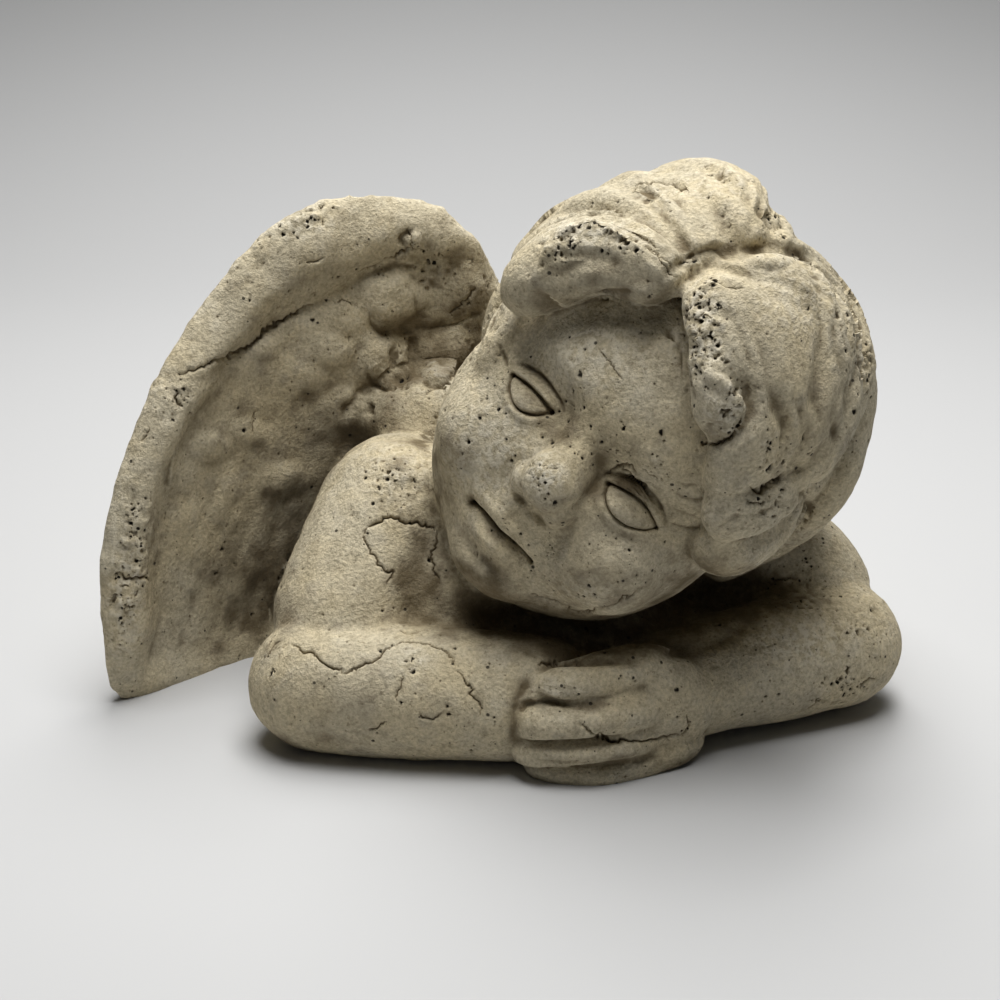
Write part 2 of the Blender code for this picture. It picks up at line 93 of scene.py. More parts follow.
class Side(Enum):
    """The cherub's own right and left, as the sign of x in the head frame."""

    RIGHT = -1
    LEFT = 1


class Stain(Enum):
    """What gathers on the stone, painted shade and painted light among it; each is a value per point that
    the finish reads.
    """

    # grime together with painted shade in hollows, creases, sheltered places and under things
    GRIME_AND_SHADE = "grime"
    # wear together with painted light on what stands out and faces up
    WEAR_AND_LIGHT = "wear"
    # marks holes, which the finish paints near black with the shade inside them
    HOLE = "hole"


# Curves and noise

def curve_at(points: Line, shares: Array) -> Array:
    """Places on a smooth curve through points.

    Args:
        points: corners that the curve passes through.
        shares: where to read it, from 0 at the first point to 1 at the last.

    Returns:
        One row of coordinates for each share.
    """
    pts = np.array(points, float)
    knots = np.vstack([2 * pts[0] - pts[1], pts, 2 * pts[-1] - pts[-2]])
    place = np.asarray(shares) * (len(pts) - 1)
    i = np.minimum(place.astype(int), len(pts) - 2)
    t = (place - i)[:, None]
    a, b, c, d = (knots[i + k] for k in range(4))
    return 0.5 * (2 * b + (c - a) * t + (2 * a - 5 * b + 4 * c - d) * t ** 2
                  + (3 * b - a - 3 * c + d) * t ** 3)


def held(values: Array) -> Array:
    """Values kept between 0 and 1."""
    return np.clip(values, 0, 1)


def directions(vectors: Array) -> Array:
    """Vectors, one a row, brought to length 1."""
    return vectors / np.linalg.norm(vectors, axis=1)[:, None]


def spread(values: Point, shares: Array) -> Array:
    """Values read at shares of their list, from 0 at the first to 1 at the last."""
    return np.interp(shares, np.linspace(0, 1, len(values)), values)


def nearest(flat: Array, path: Array) -> tuple[Array, Array]:
    """Distance from every point to a bent line.

    Args:
        flat: points, one a row.
        path: corners of the line, one a row.

    Returns:
        The distances, and for each the share along the line where it is closest.
    """
    best = np.full(len(flat), np.inf)
    along = np.zeros(len(flat))
    for k, (start, end) in enumerate(zip(path, path[1:])):
        span = end - start
        t = held((flat - start) @ span / max(span @ span, 1e-9))
        gap = np.linalg.norm(flat - start - t[:, None] * span, axis=1)
        closer = gap < best
        best[closer] = gap[closer]
        along[closer] = (k + t[closer]) / (len(path) - 1)
    return best, along


def noise(points: Array, size: float, seed: int) -> Array:
    """Smooth random values from -1 to 1 with lumps of a size.

    Args:
        points: places in space, one a row.
        size: distance between neighbouring lumps.
        seed: picks another pattern.

    Returns:
        One value for each point.
    """
    table = np.random.default_rng(seed).uniform(-1, 1, CHANCE_TABLE)
    grid = points / size
    cell = np.floor(grid).astype(np.int64)
    t = grid - cell
    t = t * t * (3 - 2 * t)
    total = np.zeros(len(points))
    for corner in range(8):
        step = np.array([(corner >> k) & 1 for k in range(3)])
        key = (cell + step) * np.array(MIXERS)
        mix = (key[:, 0] ^ key[:, 1] ^ key[:, 2]) & (CHANCE_TABLE - 1)
        total += np.prod(np.where(step, t, 1 - t), axis=1) * table[mix]
    return total


def layered(points: Array, layers: tuple[Point, ...]) -> Array:
    """Sum of noises, each given by the size of its lumps, its seed and its height."""
    return sum(height * noise(points, size, seed) for size, seed, height in layers)


def ragged(points: Line, step: float, amount: float, rng: np.random.Generator) -> Array:
    """A crack's bent line: the smooth line cut in short pieces that jump to both sides.

    Args:
        points: corners of the smooth line.
        step: length of a piece.
        amount: how far the pieces jump.
        rng: source of chance.

    Returns:
        Corners of the bent line.
    """
    pts = np.array(points, float)
    length = np.linalg.norm(np.diff(pts, axis=0), axis=1).sum()
    path = curve_at(points, np.linspace(0, 1, max(int(length / step), 2) + 1))
    jump = rng.normal(0, amount, path.shape)
    runs = len(path) // SWAY_RUN + 1
    jump += np.repeat(rng.normal(0, SWAY * amount, (runs, 2)), SWAY_RUN, axis=0)[:len(path)]
    jump[0] = jump[-1] = 0
    return path + jump


# Working the clay

def deselect() -> None:
    """Leave nothing selected, so that an operator acts on its own piece alone."""
    for obj in bpy.context.selected_objects:
        obj.select_set(False)


def take(obj: Body) -> None:
    """Select one object alone and make it active."""
    deselect()
    obj.select_set(True)
    bpy.context.view_layer.objects.active = obj


def work(obj: Body, kind: str, **settings: object) -> None:
    """Add a modifier to an object and apply it.

    Args:
        obj: the object.
        kind: type of the modifier.
        settings: its properties.
    """
    take(obj)
    bpy.ops.object.modifier_add(type=kind)
    modifier = obj.modifiers[-1]
    for name, value in settings.items():
        setattr(modifier, name, value)
    bpy.ops.object.modifier_apply(modifier=modifier.name)


def smooth(obj: Body, rounds: int) -> None:
    """Even out an object's points in a number of rounds."""
    work(obj, "SMOOTH", factor=SMOOTHING, iterations=rounds)


@contextmanager
def editing(obj: Body) -> Iterator[None]:
    """Open one object in edit mode, with all of it selected at the start.

    Args:
        obj: the object.

    Yields:
        Nothing. Edit mode ends with the block.
    """
    take(obj)
    bpy.ops.object.mode_set(mode="EDIT")
    bpy.ops.mesh.select_all(action="SELECT")
    yield
    bpy.ops.object.mode_set(mode="OBJECT")


def duplicate(obj: Body) -> Body:
    """Copy an object with its mesh into the scene.

    Args:
        obj: the object.

    Returns:
        The copy, with a mesh of its own.
    """
    copy = obj.copy()
    copy.data = obj.data.copy()
    bpy.context.scene.collection.objects.link(copy)
    return copy


def discard(obj: Body) -> None:
    """Remove an object and its mesh."""
    mesh = obj.data
    bpy.data.objects.remove(obj)
    bpy.data.meshes.remove(mesh)


def point_tree(coords: Array) -> KDTree:
    """Make points ready for looking up which lie near a place.

    Args:
        coords: the points, one a row.

    Returns:
        The tree to look in.
    """
    tree = KDTree(len(coords))
    for index, place in enumerate(coords):
        tree.insert(place, index)
    tree.balance()
    return tree


def skin_over(obj: Body, voxel: float) -> None:
    """Replace an object's bodies by one closed skin round them.

    Args:
        obj: the object.
        voxel: how fine the skin is, as the size of its smallest squares.
    """
    take(obj)
    obj.data.remesh_voxel_size = voxel
    obj.data.use_remesh_fix_poles = False
    obj.data.use_remesh_preserve_volume = False
    bpy.ops.object.voxel_remesh()


def read(mesh: bpy.types.Mesh, what: str = "co") -> Array:
    """Places ("co") or facings ("normal") of a mesh's points, one a row."""
    values = np.empty(len(mesh.vertices) * 3)
    mesh.vertices.foreach_get(what, values)
    return values.reshape(-1, 3)


def write(mesh: bpy.types.Mesh, coords: Array) -> None:
    """Move a mesh's points to the given places."""
    mesh.vertices.foreach_set("co", coords.ravel())
    mesh.update()


class Clay:
    """Bodies shaped from round primitives, to be blended into one skin."""

    ball_sides = 32
    ball_rings = 20
    limb_sides = 24
    limb_rings = 33
    limb_up = (0.1, 0.2, 1.0)

    def __init__(self, name: str) -> None:
        """Start with no bodies."""
        self.name = name
        self.bodies: list[Body] = []

    def round(self, segments: int, rings: int) -> tuple[Body, Array]:
        """Add a unit ball.

        Args:
            segments: how many sides round.
            rings: how many steps from pole to pole.

        Returns:
            The ball and its points.
        """
        deselect()
        bpy.ops.mesh.primitive_uv_sphere_add(segments=segments, ring_count=rings, radius=1.0)
        body = bpy.context.object
        self.bodies.append(body)
        return body, read(body.data)

    def ball(self, centre: Point, semi: Point, frame_matrix: Matrix = WORLD) -> None:
        """An ellipsoid of given half widths in a frame."""
        body, _ = self.round(self.ball_sides, self.ball_rings)
        body.data.transform(frame_matrix @ Matrix.Translation(centre) @ Matrix.Diagonal((*semi, 1.0)))

    def draw_out(self, points: Line, widths: Point, heights: Point, ups: Line,
                 rings: int = 25, sides: int = 16, cap: float = 0.5) -> None:
        """A ball drawn out along a curve into a round-ended lock, finger or limb.

        Args:
            points: the curve's corners, in the design frame.
            widths: half sizes across, along the curve.
            heights: half sizes along the ups.
            ups: one or more directions that the thickness stands in.
            rings: how many steps long.
            sides: how many sides round.
            cap: length of each round end, as a share of the thickness there.
        """
        body, unit = self.round(sides, rings)
        shares = np.linspace(0, 1, rings + 1)
        path = curve_at(points, shares)
        wide = spread(widths, shares)
        tall = spread(heights, shares)
        up = curve_at(ups, shares) if len(ups) > 1 else np.repeat(np.array(ups, float), rings + 1, 0)
        run = np.concatenate([[0.0], np.cumsum(np.linalg.norm(np.diff(path, axis=0), axis=1))])
        ends = cap * (wide[0] + tall[0]), cap * (wide[-1] + tall[-1])
        near = np.minimum(held(run / ends[0]), held((run[-1] - run) / ends[1]))
        rounding = np.sqrt(1 - (1 - near) ** 2)
        tangent = directions(np.gradient(path, axis=0))
        side = directions(np.cross(tangent, up))
        top = np.cross(side, tangent)
        ring = np.rint(np.arccos(np.clip(unit[:, 2], -1, 1)) / math.pi * rings).astype(int)
        angle = np.arctan2(unit[:, 1], unit[:, 0])
        across = (np.cos(angle) * wide[ring])[:, None] * side[ring]
        above = (np.sin(angle) * tall[ring])[:, None] * top[ring]
        write(body.data, path[ring] + rounding[ring][:, None] * (across + above))

    def limb(self, points: Line, radii: Point) -> None:
        """A round arm or neck through points of the design frame."""
        self.draw_out(points, radii, radii, (self.limb_up,), self.limb_rings, self.limb_sides)

    def blend(self, voxel: float, smoothing: float) -> Body:
        """Join all bodies under one closed, softened skin.

        Args:
            voxel: how fine the skin is.
            smoothing: number of smoothing rounds.

        Returns:
            The blended body.
        """
        take(self.bodies[0])
        for body in self.bodies:
            body.select_set(True)
        bpy.ops.object.join()
        skin = self.bodies[0]
        skin.name = self.name
        skin_over(skin, voxel)
        smooth(skin, round(smoothing))
        return skin


def refine(obj: Body, wanted: Array) -> None:
    """Halve the mesh size of an object's faces where the wanted points are.

    Args:
        obj: the object.
        wanted: whether each of its points is wanted.
    """
    take(obj)
    bpy.ops.object.mode_set(mode="EDIT")
    bpy.ops.mesh.select_mode(type="VERT")
    bpy.ops.mesh.select_all(action="DESELECT")
    bpy.ops.object.mode_set(mode="OBJECT")
    obj.data.vertices.foreach_set("select", wanted)
    bpy.ops.object.mode_set(mode="EDIT")
    bpy.ops.mesh.select_mode(type="FACE")
    bpy.ops.mesh.subdivide(number_cuts=1)
    bpy.ops.object.mode_set(mode="OBJECT")


class Skin:
    """The points of the blended skin: where they are, how they face, and what marks, shades and lights
    them.
    """

    def __init__(self, body: Body) -> None:
        """Read the points of a body."""
        self.body = body
        self.coords = read(body.data)
        self.normals = read(body.data, "normal")
        self.stains_shade_and_light = {stain: np.zeros(len(self.coords)) for stain in Stain}

    def settle(self) -> None:
        """Put the moved points back in the mesh and read how they face now."""
        write(self.body.data, self.coords)
        self.normals = read(self.body.data, "normal")

    def stain(self, stain: Stain, who: Array, amount: Array) -> None:
        """Darken or lighten some points, by stain, painted shade or painted light, keeping the stronger of
        the old and the new value.
        """
        values = self.stains_shade_and_light[stain]
        values[who] = np.maximum(values[who], amount)

    def softened(self, rounds: int) -> Array:
        """Smooth a copy of the body and leave the skin itself alone.

        Args:
            rounds: number of smoothing rounds.

        Returns:
            Places of the smoothed points, one a row.
        """
        copy = duplicate(self.body)
        smooth(copy, rounds)
        coords = read(copy.data)
        discard(copy)
        return coords

    def hollowness(self, rounds: int) -> Array:
        """How far each point lies below its softened surroundings; negative on ridges."""
        return np.sum((self.softened(rounds) - self.coords) * self.normals, axis=1)


class View:
    """A flat picture of part of the skin. What is drawn on it is then pressed into the stone."""

    # how many widths away a mark still counts, steps of a curve, and how a line's ends fade
    reach = 2.6
    curve_steps = 24
    fade_rate = 4
    fade_end = 0.25

    def __init__(self, skin: Skin, flat: Array, way: Array, strength: Array) -> None:
        """Keep the points that the view reaches.

        Args:
            skin: the skin to be worked.
            flat: each point's place in the picture.
            way: the direction in which a raised point moves, one for all or one each.
            strength: share of the relief that each point takes; none is left out of the view.
        """
        self.skin = skin
        self.who = np.flatnonzero(strength > 0)
        self.flat = flat[self.who]
        self.way = way if way.ndim == 1 else way[self.who]
        self.strength = strength[self.who]
        self.height = np.zeros(len(self.who))

    def around(self, places: Array, margin: float) -> Array:
        """Find the view's points near some places of the picture.

        Args:
            places: the places, one a row.
            margin: how far beyond their box a point still counts.

        Returns:
            Numbers of the points.
        """
        low = places.min(axis=0) - margin
        high = places.max(axis=0) + margin
        return np.flatnonzero(np.all((self.flat > low) & (self.flat < high), axis=1))

    def swell(self, centre: Point, radii: Point, height: float, firm: float = 1.0) -> None:
        """Raise a round swelling, or sink it where the height is negative.

        Args:
            centre: its place in the picture.
            radii: its half sizes.
            height: how far it stands up.
            firm: 1 for a soft hill, more for a flatter top with a steeper edge.
        """
        centre = np.array(centre, float)
        radii = np.array(radii, float)
        near = self.around(centre[None, :], self.reach * float(radii.max()))
        gap = (self.flat[near] - centre) / radii
        self.height[near] += height * np.exp(-np.sum(gap ** 2, axis=1) ** firm)

    def line(self, points: Line | Array, width: float, depth: float, dirt_and_shade: float = 0.0,
             tapered: bool = True, bent: bool = False) -> None:
        """Cut a line.

        Args:
            points: its corners in the picture.
            width: distance at which its depth has fallen to about a third.
            depth: how deep it is cut; negative raises a ridge.
            dirt_and_shade: how dark it is stained, grimy stain and painted shade in the cut together.
            tapered: whether it fades out at both ends.
            bent: whether it runs straight from corner to corner, as a crack does.
        """
        shares = np.linspace(0, 1, self.curve_steps)
        path = np.array(points, float) if bent else curve_at(points, shares)
        near = self.around(path, self.reach * width)
        gap, along = nearest(self.flat[near], path)
        share = np.exp(-(gap / width) ** 2)
        if tapered:
            to_end = np.minimum(along, 1 - along)
            share *= held(self.fade_rate * to_end + self.fade_end)
        self.height[near] -= depth * share
        # the cut is darkened: grime and painted shade in it together
        if dirt_and_shade:
            who = self.who[near]
            self.skin.stain(Stain.GRIME_AND_SHADE, who, dirt_and_shade * share * held(2 * self.strength[near]))

    def smudge_and_shade(self, centre: Point, radii: Point, amount: float) -> None:
        """Darken a soft oval place, grimy stain and painted shade together.

        Args:
            centre: its place in the picture.
            radii: its half sizes.
            amount: how dark its middle is.
        """
        gap = (self.flat - np.array(centre, float)) / np.array(radii, float)
        share = np.exp(-np.sum(gap ** 2, axis=1))
        self.skin.stain(Stain.GRIME_AND_SHADE, self.who, amount * share * self.strength)

    def press(self) -> None:
        """Move the skin's points by what was drawn."""
        shift = (self.height * self.strength)[:, None] * self.way
        self.skin.coords[self.who] += shift


class Form:
    """A part of the statue: laid in clay first, then carved in the blended skin."""

    def lay(self, clay: Clay) -> None:
        """Lay the form's broad masses.

        Args:
            clay: the bodies that they join.
        """

    def add(self, clay: Clay) -> None:
        """Add what stands on the blended masses.

        Args:
            clay: the bodies that it joins.
        """

    def carve(self, skin: Skin) -> None:
        """Cut the form's fine work.

        Args:
            skin: the skin to be worked.
        """


# The head

@dataclass
class HeadPose:
    """Where the head lies and how it leans, with the skull that the hair is laid on."""

    centre: Point = (45.5, 5.0, 101.0)
    tilt: float = 38.4
    nod: float = 16.4
    turn: float = 19.0
    skull: Point = (56.0, 66.0, 58.0)

    def matrix(self) -> Matrix:
        """Head frame: x to the cherub's left, y up through the crown, z out of the face."""
        angles = [math.radians(a) for a in (-self.nod, self.tilt, -self.turn)]
        upright = Matrix(((1, 0, 0), (0, 0, -1), (0, 1, 0)))
        return Matrix.Translation(self.centre) @ (Euler(angles, "YXZ").to_matrix() @ upright).to_4x4()

    def on_skull(self, azimuth: float, elevation: float, lift: float = 0.0) -> Array:
        """A point on the skull, or above it.

        Args:
            azimuth: degrees to the cherub's left of straight ahead.
            elevation: degrees above straight ahead.
            lift: how far it lies off the skull.

        Returns:
            Its place in the head frame.
        """
        az = math.radians(azimuth)
        el = math.radians(elevation)
        way = (math.sin(az) * math.cos(el), math.sin(el), math.cos(az) * math.cos(el))
        return np.array(way) * (np.array(self.skull) + lift)

    def local(self, coords: Array) -> Array:
        """Points of the design frame read in the head frame."""
        matrix = np.array(self.matrix().inverted())
        return coords @ matrix[:3, :3].T + matrix[:3, 3]


@dataclass
class Head(Form):
    """Cranium, face, cheeks and chin, with the closed eyes, small nose and mouth."""

    pose: HeadPose
    # of the right and the left eye, level at both corners, and how far lids and crease bow
    eye_inner: Point = (15.4, 11.2)
    eye_outer: Point = (32.2, 29.6)
    eye_level: Line = ((-11.7, -13.0), (-14.6, -14.8))
    upper_bow: Point = (1.3, 2.9)
    lower_bow: Point = (-5.3, -5.0)
    crease_gap: Point = (3.3, 2.6)
    crease_bow: Point = (2.4, 4.4)
    lower_full: float = 0.62
    upper_full: float = 0.8
    lid_cut: float = 0.62
    lid_shade: float = 1.9
    mouth_level: float = -48.7
    mouth_right: float = -15.0
    mouth_left: float = 10.2
    # how far the nose's tip stands forward, and its ridge and wing across, up and from the tip
    nose_tip: float = 48.0
    nose_ridge: Line = ((0, -2, -8), (0, -12, -5.5), (0, -23, 0), (0, -33, -1))
    nose_widths: Point = (6, 7, 9.2, 8)
    nose_heights: Point = (4, 5, 8, 7)
    nose_wing: Point = (7.2, -29.5, -3.5)
    nose_wing_size: Point = (4.9, 5.4, 5.2)
    # middle and half widths in the head frame: cranium, face, brow, right and left cheek, chin
    masses: tuple = (((0, 10, -8), (55, 58, 57)), ((-3, -18, 8), (50.5, 54.5, 39)),
                     ((0, 10, 18), (44, 30, 32)), ((-25, -33, 25), (20, 19, 19)),
                     ((23, -33, 25), (20, 19, 19)), ((-1, -58, 24), (19, 13, 15)))
    # middle and half sizes of the picture of the whole face, and of its part with the small work
    face: Line = ((-1, -24), (46, 44))
    features: Line = ((-1, -27), (38, 30))

    def lay(self, clay: Clay) -> None:
        """Lay the round masses of the head."""
        head = self.pose.matrix()
        for centre, semi in self.masses:
            clay.ball(centre, semi, head)

    def add(self, clay: Clay) -> None:
        """Add the short round nose with its wings."""
        head = self.pose.matrix()
        ridge = [head @ Vector((x, y, self.nose_tip + z)) for x, y, z in self.nose_ridge]
        forward = head.to_3x3() @ Vector((0, 0, 1))
        clay.draw_out(ridge, self.nose_widths, self.nose_heights, [forward])
        x, y, z = self.nose_wing
        for side in Side:
            clay.ball((side.value * x, y, self.nose_tip + z), self.nose_wing_size, head)

    def bow(self, start: Point, end: Point, rise: float, full: float = 1.0) -> Array:
        """Draw an arc across the face.

        Args:
            start: where it starts, across and up.
            end: where it ends.
            rise: how far it bows up.
            full: 1 for a round bow, less for a fuller one.

        Returns:
            Points of the arc, one a row.
        """
        share = np.linspace(0, 1, 13)[:, None]
        path = np.array(start) + (np.array(end) - np.array(start)) * share
        path[:, 1] += rise * np.sin(math.pi * share[:, 0]) ** full
        return path

    def eye(self, view: View, side: Side) -> None:
        """Model one closed eye: its socket, ball, cut lids and the creases over it.

        Args:
            view: the face as seen from straight ahead.
            side: which eye.
        """
        sign = side.value
        which = list(Side).index(side)
        inner = np.array((sign * self.eye_inner[which], self.eye_level[which][0]))
        outer = np.array((sign * self.eye_outer[which], self.eye_level[which][1]))
        middle = 0.5 * (inner + outer)
        upper = self.upper_bow[which]
        lower = self.lower_bow[which]
        out = np.array((sign, 0.0))
        # the socket and its inner corner sink, the ball and the brow stand up
        view.swell(middle + (0, 2), (14, 9), -4.2)
        view.swell(inner + (-3 * sign, 1), (5, 7), -3.4)
        view.swell(middle + (0, 0.4 * lower), (7.6, 4.2), 3.9)
        view.swell(middle + (0, 15), (15, 4), 1.6)
        # each lid is cut deep and stained dark, grime with painted shade in the cut, and a softer painted
        # shade round the cut
        lids = ((lower, self.lower_full, 1.7, 0.86, 0.4), (upper, self.upper_full, 2.1, 0.9, 0.45))
        for rise, full, depth, dark, soft in lids:
            lid = self.bow(inner, outer, rise, full)
            view.line(lid, self.lid_cut, depth, dirt_and_shade=dark, tapered=False)
            view.line(lid, self.lid_shade, 0.0, dirt_and_shade=soft, tapered=False)
        # the rolled edge over the upper lid, the crease above it, darkened with grime and painted shade,
        # and the edge under the lower lid
        edge = self.bow(inner - out, outer + out, upper, self.upper_full)
        view.line(edge + (0, 1.6), 1.2, -1.7)
        crease = self.bow(inner - 2 * out, outer + 1.5 * out, self.crease_bow[which], self.upper_full)
        view.line(crease + (0, self.crease_gap[which]), 0.7, 1.7, dirt_and_shade=0.8)
        edge = self.bow(inner - out, outer + out, lower, self.lower_full)
        view.line(edge - (0, 1.7), 1.1, -0.6)
        # painted shade with grime in the socket, under the upper lid and at both corners
        view.smudge_and_shade(middle + (0, 1), (13, 7), 0.36)
        view.smudge_and_shade(middle + (0, 0.3 * upper), (8, 1.9), 0.5)
        view.smudge_and_shade(inner + (-sign, 0.5 * lower), (5.5, 5), 0.5)
        view.smudge_and_shade(outer + (0, 1), (4, 3.5), 0.36)
        if side is Side.LEFT:
            # dark scratches side by side above the lid
            view.smudge_and_shade(inner + (5.0 * sign, 3.8), (7.5, 2.6), 0.8)
            strand = self.bow(inner - out, inner + 0.8 * (outer - inner), upper, self.upper_full)
            for above in (1.0, 1.9, 2.7, 3.6):
                view.line(strand + (0, above), 0.42, 0.6, dirt_and_shade=1.0)

    def mouth(self, view: View) -> None:
        """Model the small closed mouth with its full lips.

        Args:
            view: the face as seen from straight ahead.
        """
        level = self.mouth_level
        right = np.array((self.mouth_right, level))
        left = np.array((self.mouth_left, level))
        middle = 0.5 * (right + left)
        # the line between the lips, bowed and with a slight wave
        line = self.bow(right, left, 0.9)
        line[:, 1] += 0.35 * np.sin(np.linspace(0, 3 * math.pi, len(line)))
        view.line(line, 0.62, 2.9, dirt_and_shade=0.95, tapered=False)
        view.line(line - (0, 0.9), 1.0, 0.9)
        # the right corner, the upper and lower lip, the hollows above and below, the left corner
        view.swell(right, (2.0, 1.8), -1.8)
        view.swell(middle + (0, 3.9), (10, 2.6), 2.2)
        view.swell(middle - (0, 4.6), (8.8, 3.2), 3.9)
        view.swell(middle + (0, 7.5), (1.8, 3.5), -1.2)
        view.swell(middle - (0, 10.6), (9.5, 3.2), -2.2)
        view.swell(left, (2.6, 2.6), -1.0)
        # grime and painted shade in the right corner and along the line, and painted shadow under the
        # lower lip
        view.smudge_and_shade(right, (2.6, 2.4), 1.0)
        view.smudge_and_shade(middle - (0, 1.2), (12, 2.2), 0.42)
        view.smudge_and_shade(middle - (0, 9.6), (9, 2.6), 0.3)

    def small_work(self, skin: Skin) -> Array:
        """Find the part of the face that holds eyes, nose and mouth.

        Args:
            skin: the skin to be worked.

        Returns:
            Whether each point lies there.
        """
        local = self.pose.local(skin.coords)
        middle, radii = self.features
        inside = np.sum(((local[:, :2] - middle) / radii) ** 2, axis=1) < 1
        return inside & (local[:, 2] > 20)

    def carve(self, skin: Skin) -> None:
        """Cut the face along the way it looks."""
        local = self.pose.local(skin.coords)
        flat = local[:, :2]
        middle, radii = self.face
        inside = np.sum(((flat - middle) / radii) ** 2, axis=1)
        front = held((local[:, 2] - 18) / 10) * held((1 - inside) * 4)
        forward = np.array(self.pose.matrix().to_3x3())[:, 2]
        view = View(skin, flat, forward, front)
        self.mouth(view)
        for side in Side:
            self.eye(view, side)
            # nostril, fold beside the nose, and the line round the nose's wing, with painted shade in the
            # nostril and beside the wing
            out = side.value
            view.swell((out * 4.2, -35.6), (3.2, 1.3), -1.9)
            view.smudge_and_shade((out * 4.2, -35.6), (3.4, 1.6), 0.75)
            view.swell((out * 12, -36), (3.5, 6), -1.5)
            view.line(((out * 8, -24), (out * 11.5, -29), (out * 9.5, -35)), 1.6, 0.9)
            view.smudge_and_shade((out * 13, -30), (4, 7), 0.28)
        # painted shadow under the nose
        view.smudge_and_shade((0, -38), (9, 3.5), 0.35)
        view.press()


@dataclass
class Hair(Form):
    """The big locks that part above the forehead, with the lines and strands cut in them."""

    pose: HeadPose
    seed: int = 5
    # the plainer locks at the back: how many, from where to where, and one lock's wave
    back_locks: int = 8
    back_span: Point = (114, 255)
    back_wave: Line = ((-5, 60), (5, 40), (-4, 18), (6, -4), (0, -26))
    back_lifts: Point = (1, 3, 3, 2, -3)
    back_widths: Point = (9, 12, 13, 12, 8)
    back_heights: Point = (8, 8, 8, 8, 7)
    # strands cut in the first locks: how many each, and their least and greatest sizes
    combed_locks: int = 8
    strands: int = 5
    strand_spread: float = 1.5
    strand_start: Point = (0.0, 0.3)
    strand_length: Point = (0.45, 0.65)
    strand_width: Point = (0.8, 1.5)
    strand_depth: Point = (0.35, 0.85)
    strand_dirt_and_shade: float = 0.22
    # how near to the head's middle hair starts and how far it reaches, in skulls
    shell: Point = (0.9, 1.4)
    # each lock: degrees on the skull, lifts off it, half widths and half heights
    front: tuple = (
        # the forelock over the right temple, and four more behind it up to the crown
        (((-12, 36), (-28, 33), (-40, 27), (-47, 18), (-48, 9), (-43, 3)),
         (3, 5, 6, 5, 4, 1), (9, 12, 14, 14, 12, 8), (8, 10, 11, 11, 10, 7)),
        (((-14, 44), (-32, 42), (-54, 38), (-74, 27), (-77, 15), (-70, 5)),
         (3, 4, 5, 5, 4, 2), (7, 10, 12, 13, 13, 11), (7, 8, 9, 9, 8, 7)),
        (((-14, 48), (-34, 50), (-62, 48), (-82, 38), (-100, 26)),
         (3, 5, 6, 6, 5), (7, 10, 12, 13, 12), (7, 8, 9, 9, 8)),
        (((-12, 54), (-34, 61), (-66, 62), (-86, 53), (-100, 42)),
         (3, 6, 8, 8, 7), (8, 11, 14, 14, 12), (7, 9, 9, 9, 9)),
        (((-6, 58), (-30, 72), (-84, 74), (-98, 64), (-106, 52)),
         (2, 2, 0, 0, 1), (8, 10, 11, 11, 11), (7, 8, 8, 8, 8)),
        # the long ridge round the left side, and the two broad masses inside it
        (((-10, 55), (0, 68), (66, 80), (92, 67), (90, 52), (86, 36), (80, 22)),
         (2, 2, -1, 1, 1, -3, -6), (8, 11, 12, 13, 13, 12, 9), (7, 8, 8, 8, 8, 7, 6)),
        (((-10, 42), (2, 53), (26, 59), (48, 52), (60, 36), (63, 18)),
         (1, 3, 4, 4, 3, 0), (9, 13, 15, 16, 15, 12), (7, 8, 8, 8, 7, 6)),
        (((-14, 41), (-2, 42), (14, 41), (29, 34), (38, 24), (42, 12), (42, 3)),
         (0, 3, 4, 3, 2, 0, -2), (9, 15, 18, 18, 16, 12, 8), (7, 8, 8, 8, 8, 7, 6)),
        # the curl that stands over the forehead, and the locks by the left temple and ear
        (((4, 36), (14, 29), (21, 22), (24, 15)), (2, 3, 3, 1), (8, 9, 8, 6), (6, 7, 7, 5)),
        (((56, 26), (56, 14), (50, 5), (44, -3)), (0, 1, 0, -1), (10, 11, 10, 7), (6, 7, 7, 6)),
        (((94, 16), (80, 4), (66, -4), (52, -10)), (-6, -4, -2, -3), (12, 13, 11, 7), (7, 7, 7, 6)),
        # the short strip before the right ear
        (((-74, 4), (-62, -5), (-56, -14), (-55, -24)), (-3, -3, -4, -5), (8, 8, 7, 5), (5, 5, 5, 4)),
    )
    # lines cut between the locks: degrees on the skull, width, depth, and dirt with painted shade
    lines: tuple = (
        (((-16, 40), (-27, 40), (-40, 37), (-52, 33), (-66, 27)), 2.4, 1.9, 0.3),
        (((-20, 47), (-33, 48), (-48, 47), (-68, 45)), 2.4, 1.8, 0.25),
        (((-14, 54), (-6, 62), (15, 70), (38, 68), (52, 57), (62, 45), (64, 32)), 3.2, 3.0, 0.2),
        (((-16, 39), (-10, 44), (2, 50), (20, 54), (38, 48), (48, 36), (50, 26)), 2.4, 1.6, 0.15),
        (((17, 28), (26, 26), (29, 19), (25, 12)), 2.2, 2.7, 0.35),
        (((31, 30), (43, 25), (49, 17), (44, 9)), 2.6, 2.8, 0.4),
        (((62, 38), (59, 28), (54, 14), (50, 2)), 3.0, 2.2, 0.2),
        (((96, 30), (84, 16), (70, 6), (56, -2)), 3.0, 2.4, 0.25),
        (((-12, 33), (-20, 28), (-25, 23), (-31, 15), (-36, 8), (-40, 3)), 1.6, 1.5, 0.5),
        (((-13, 31), (-7, 30), (-3, 28), (1, 26), (9, 21), (18, 16)), 1.4, 1.2, 0.25),
    )

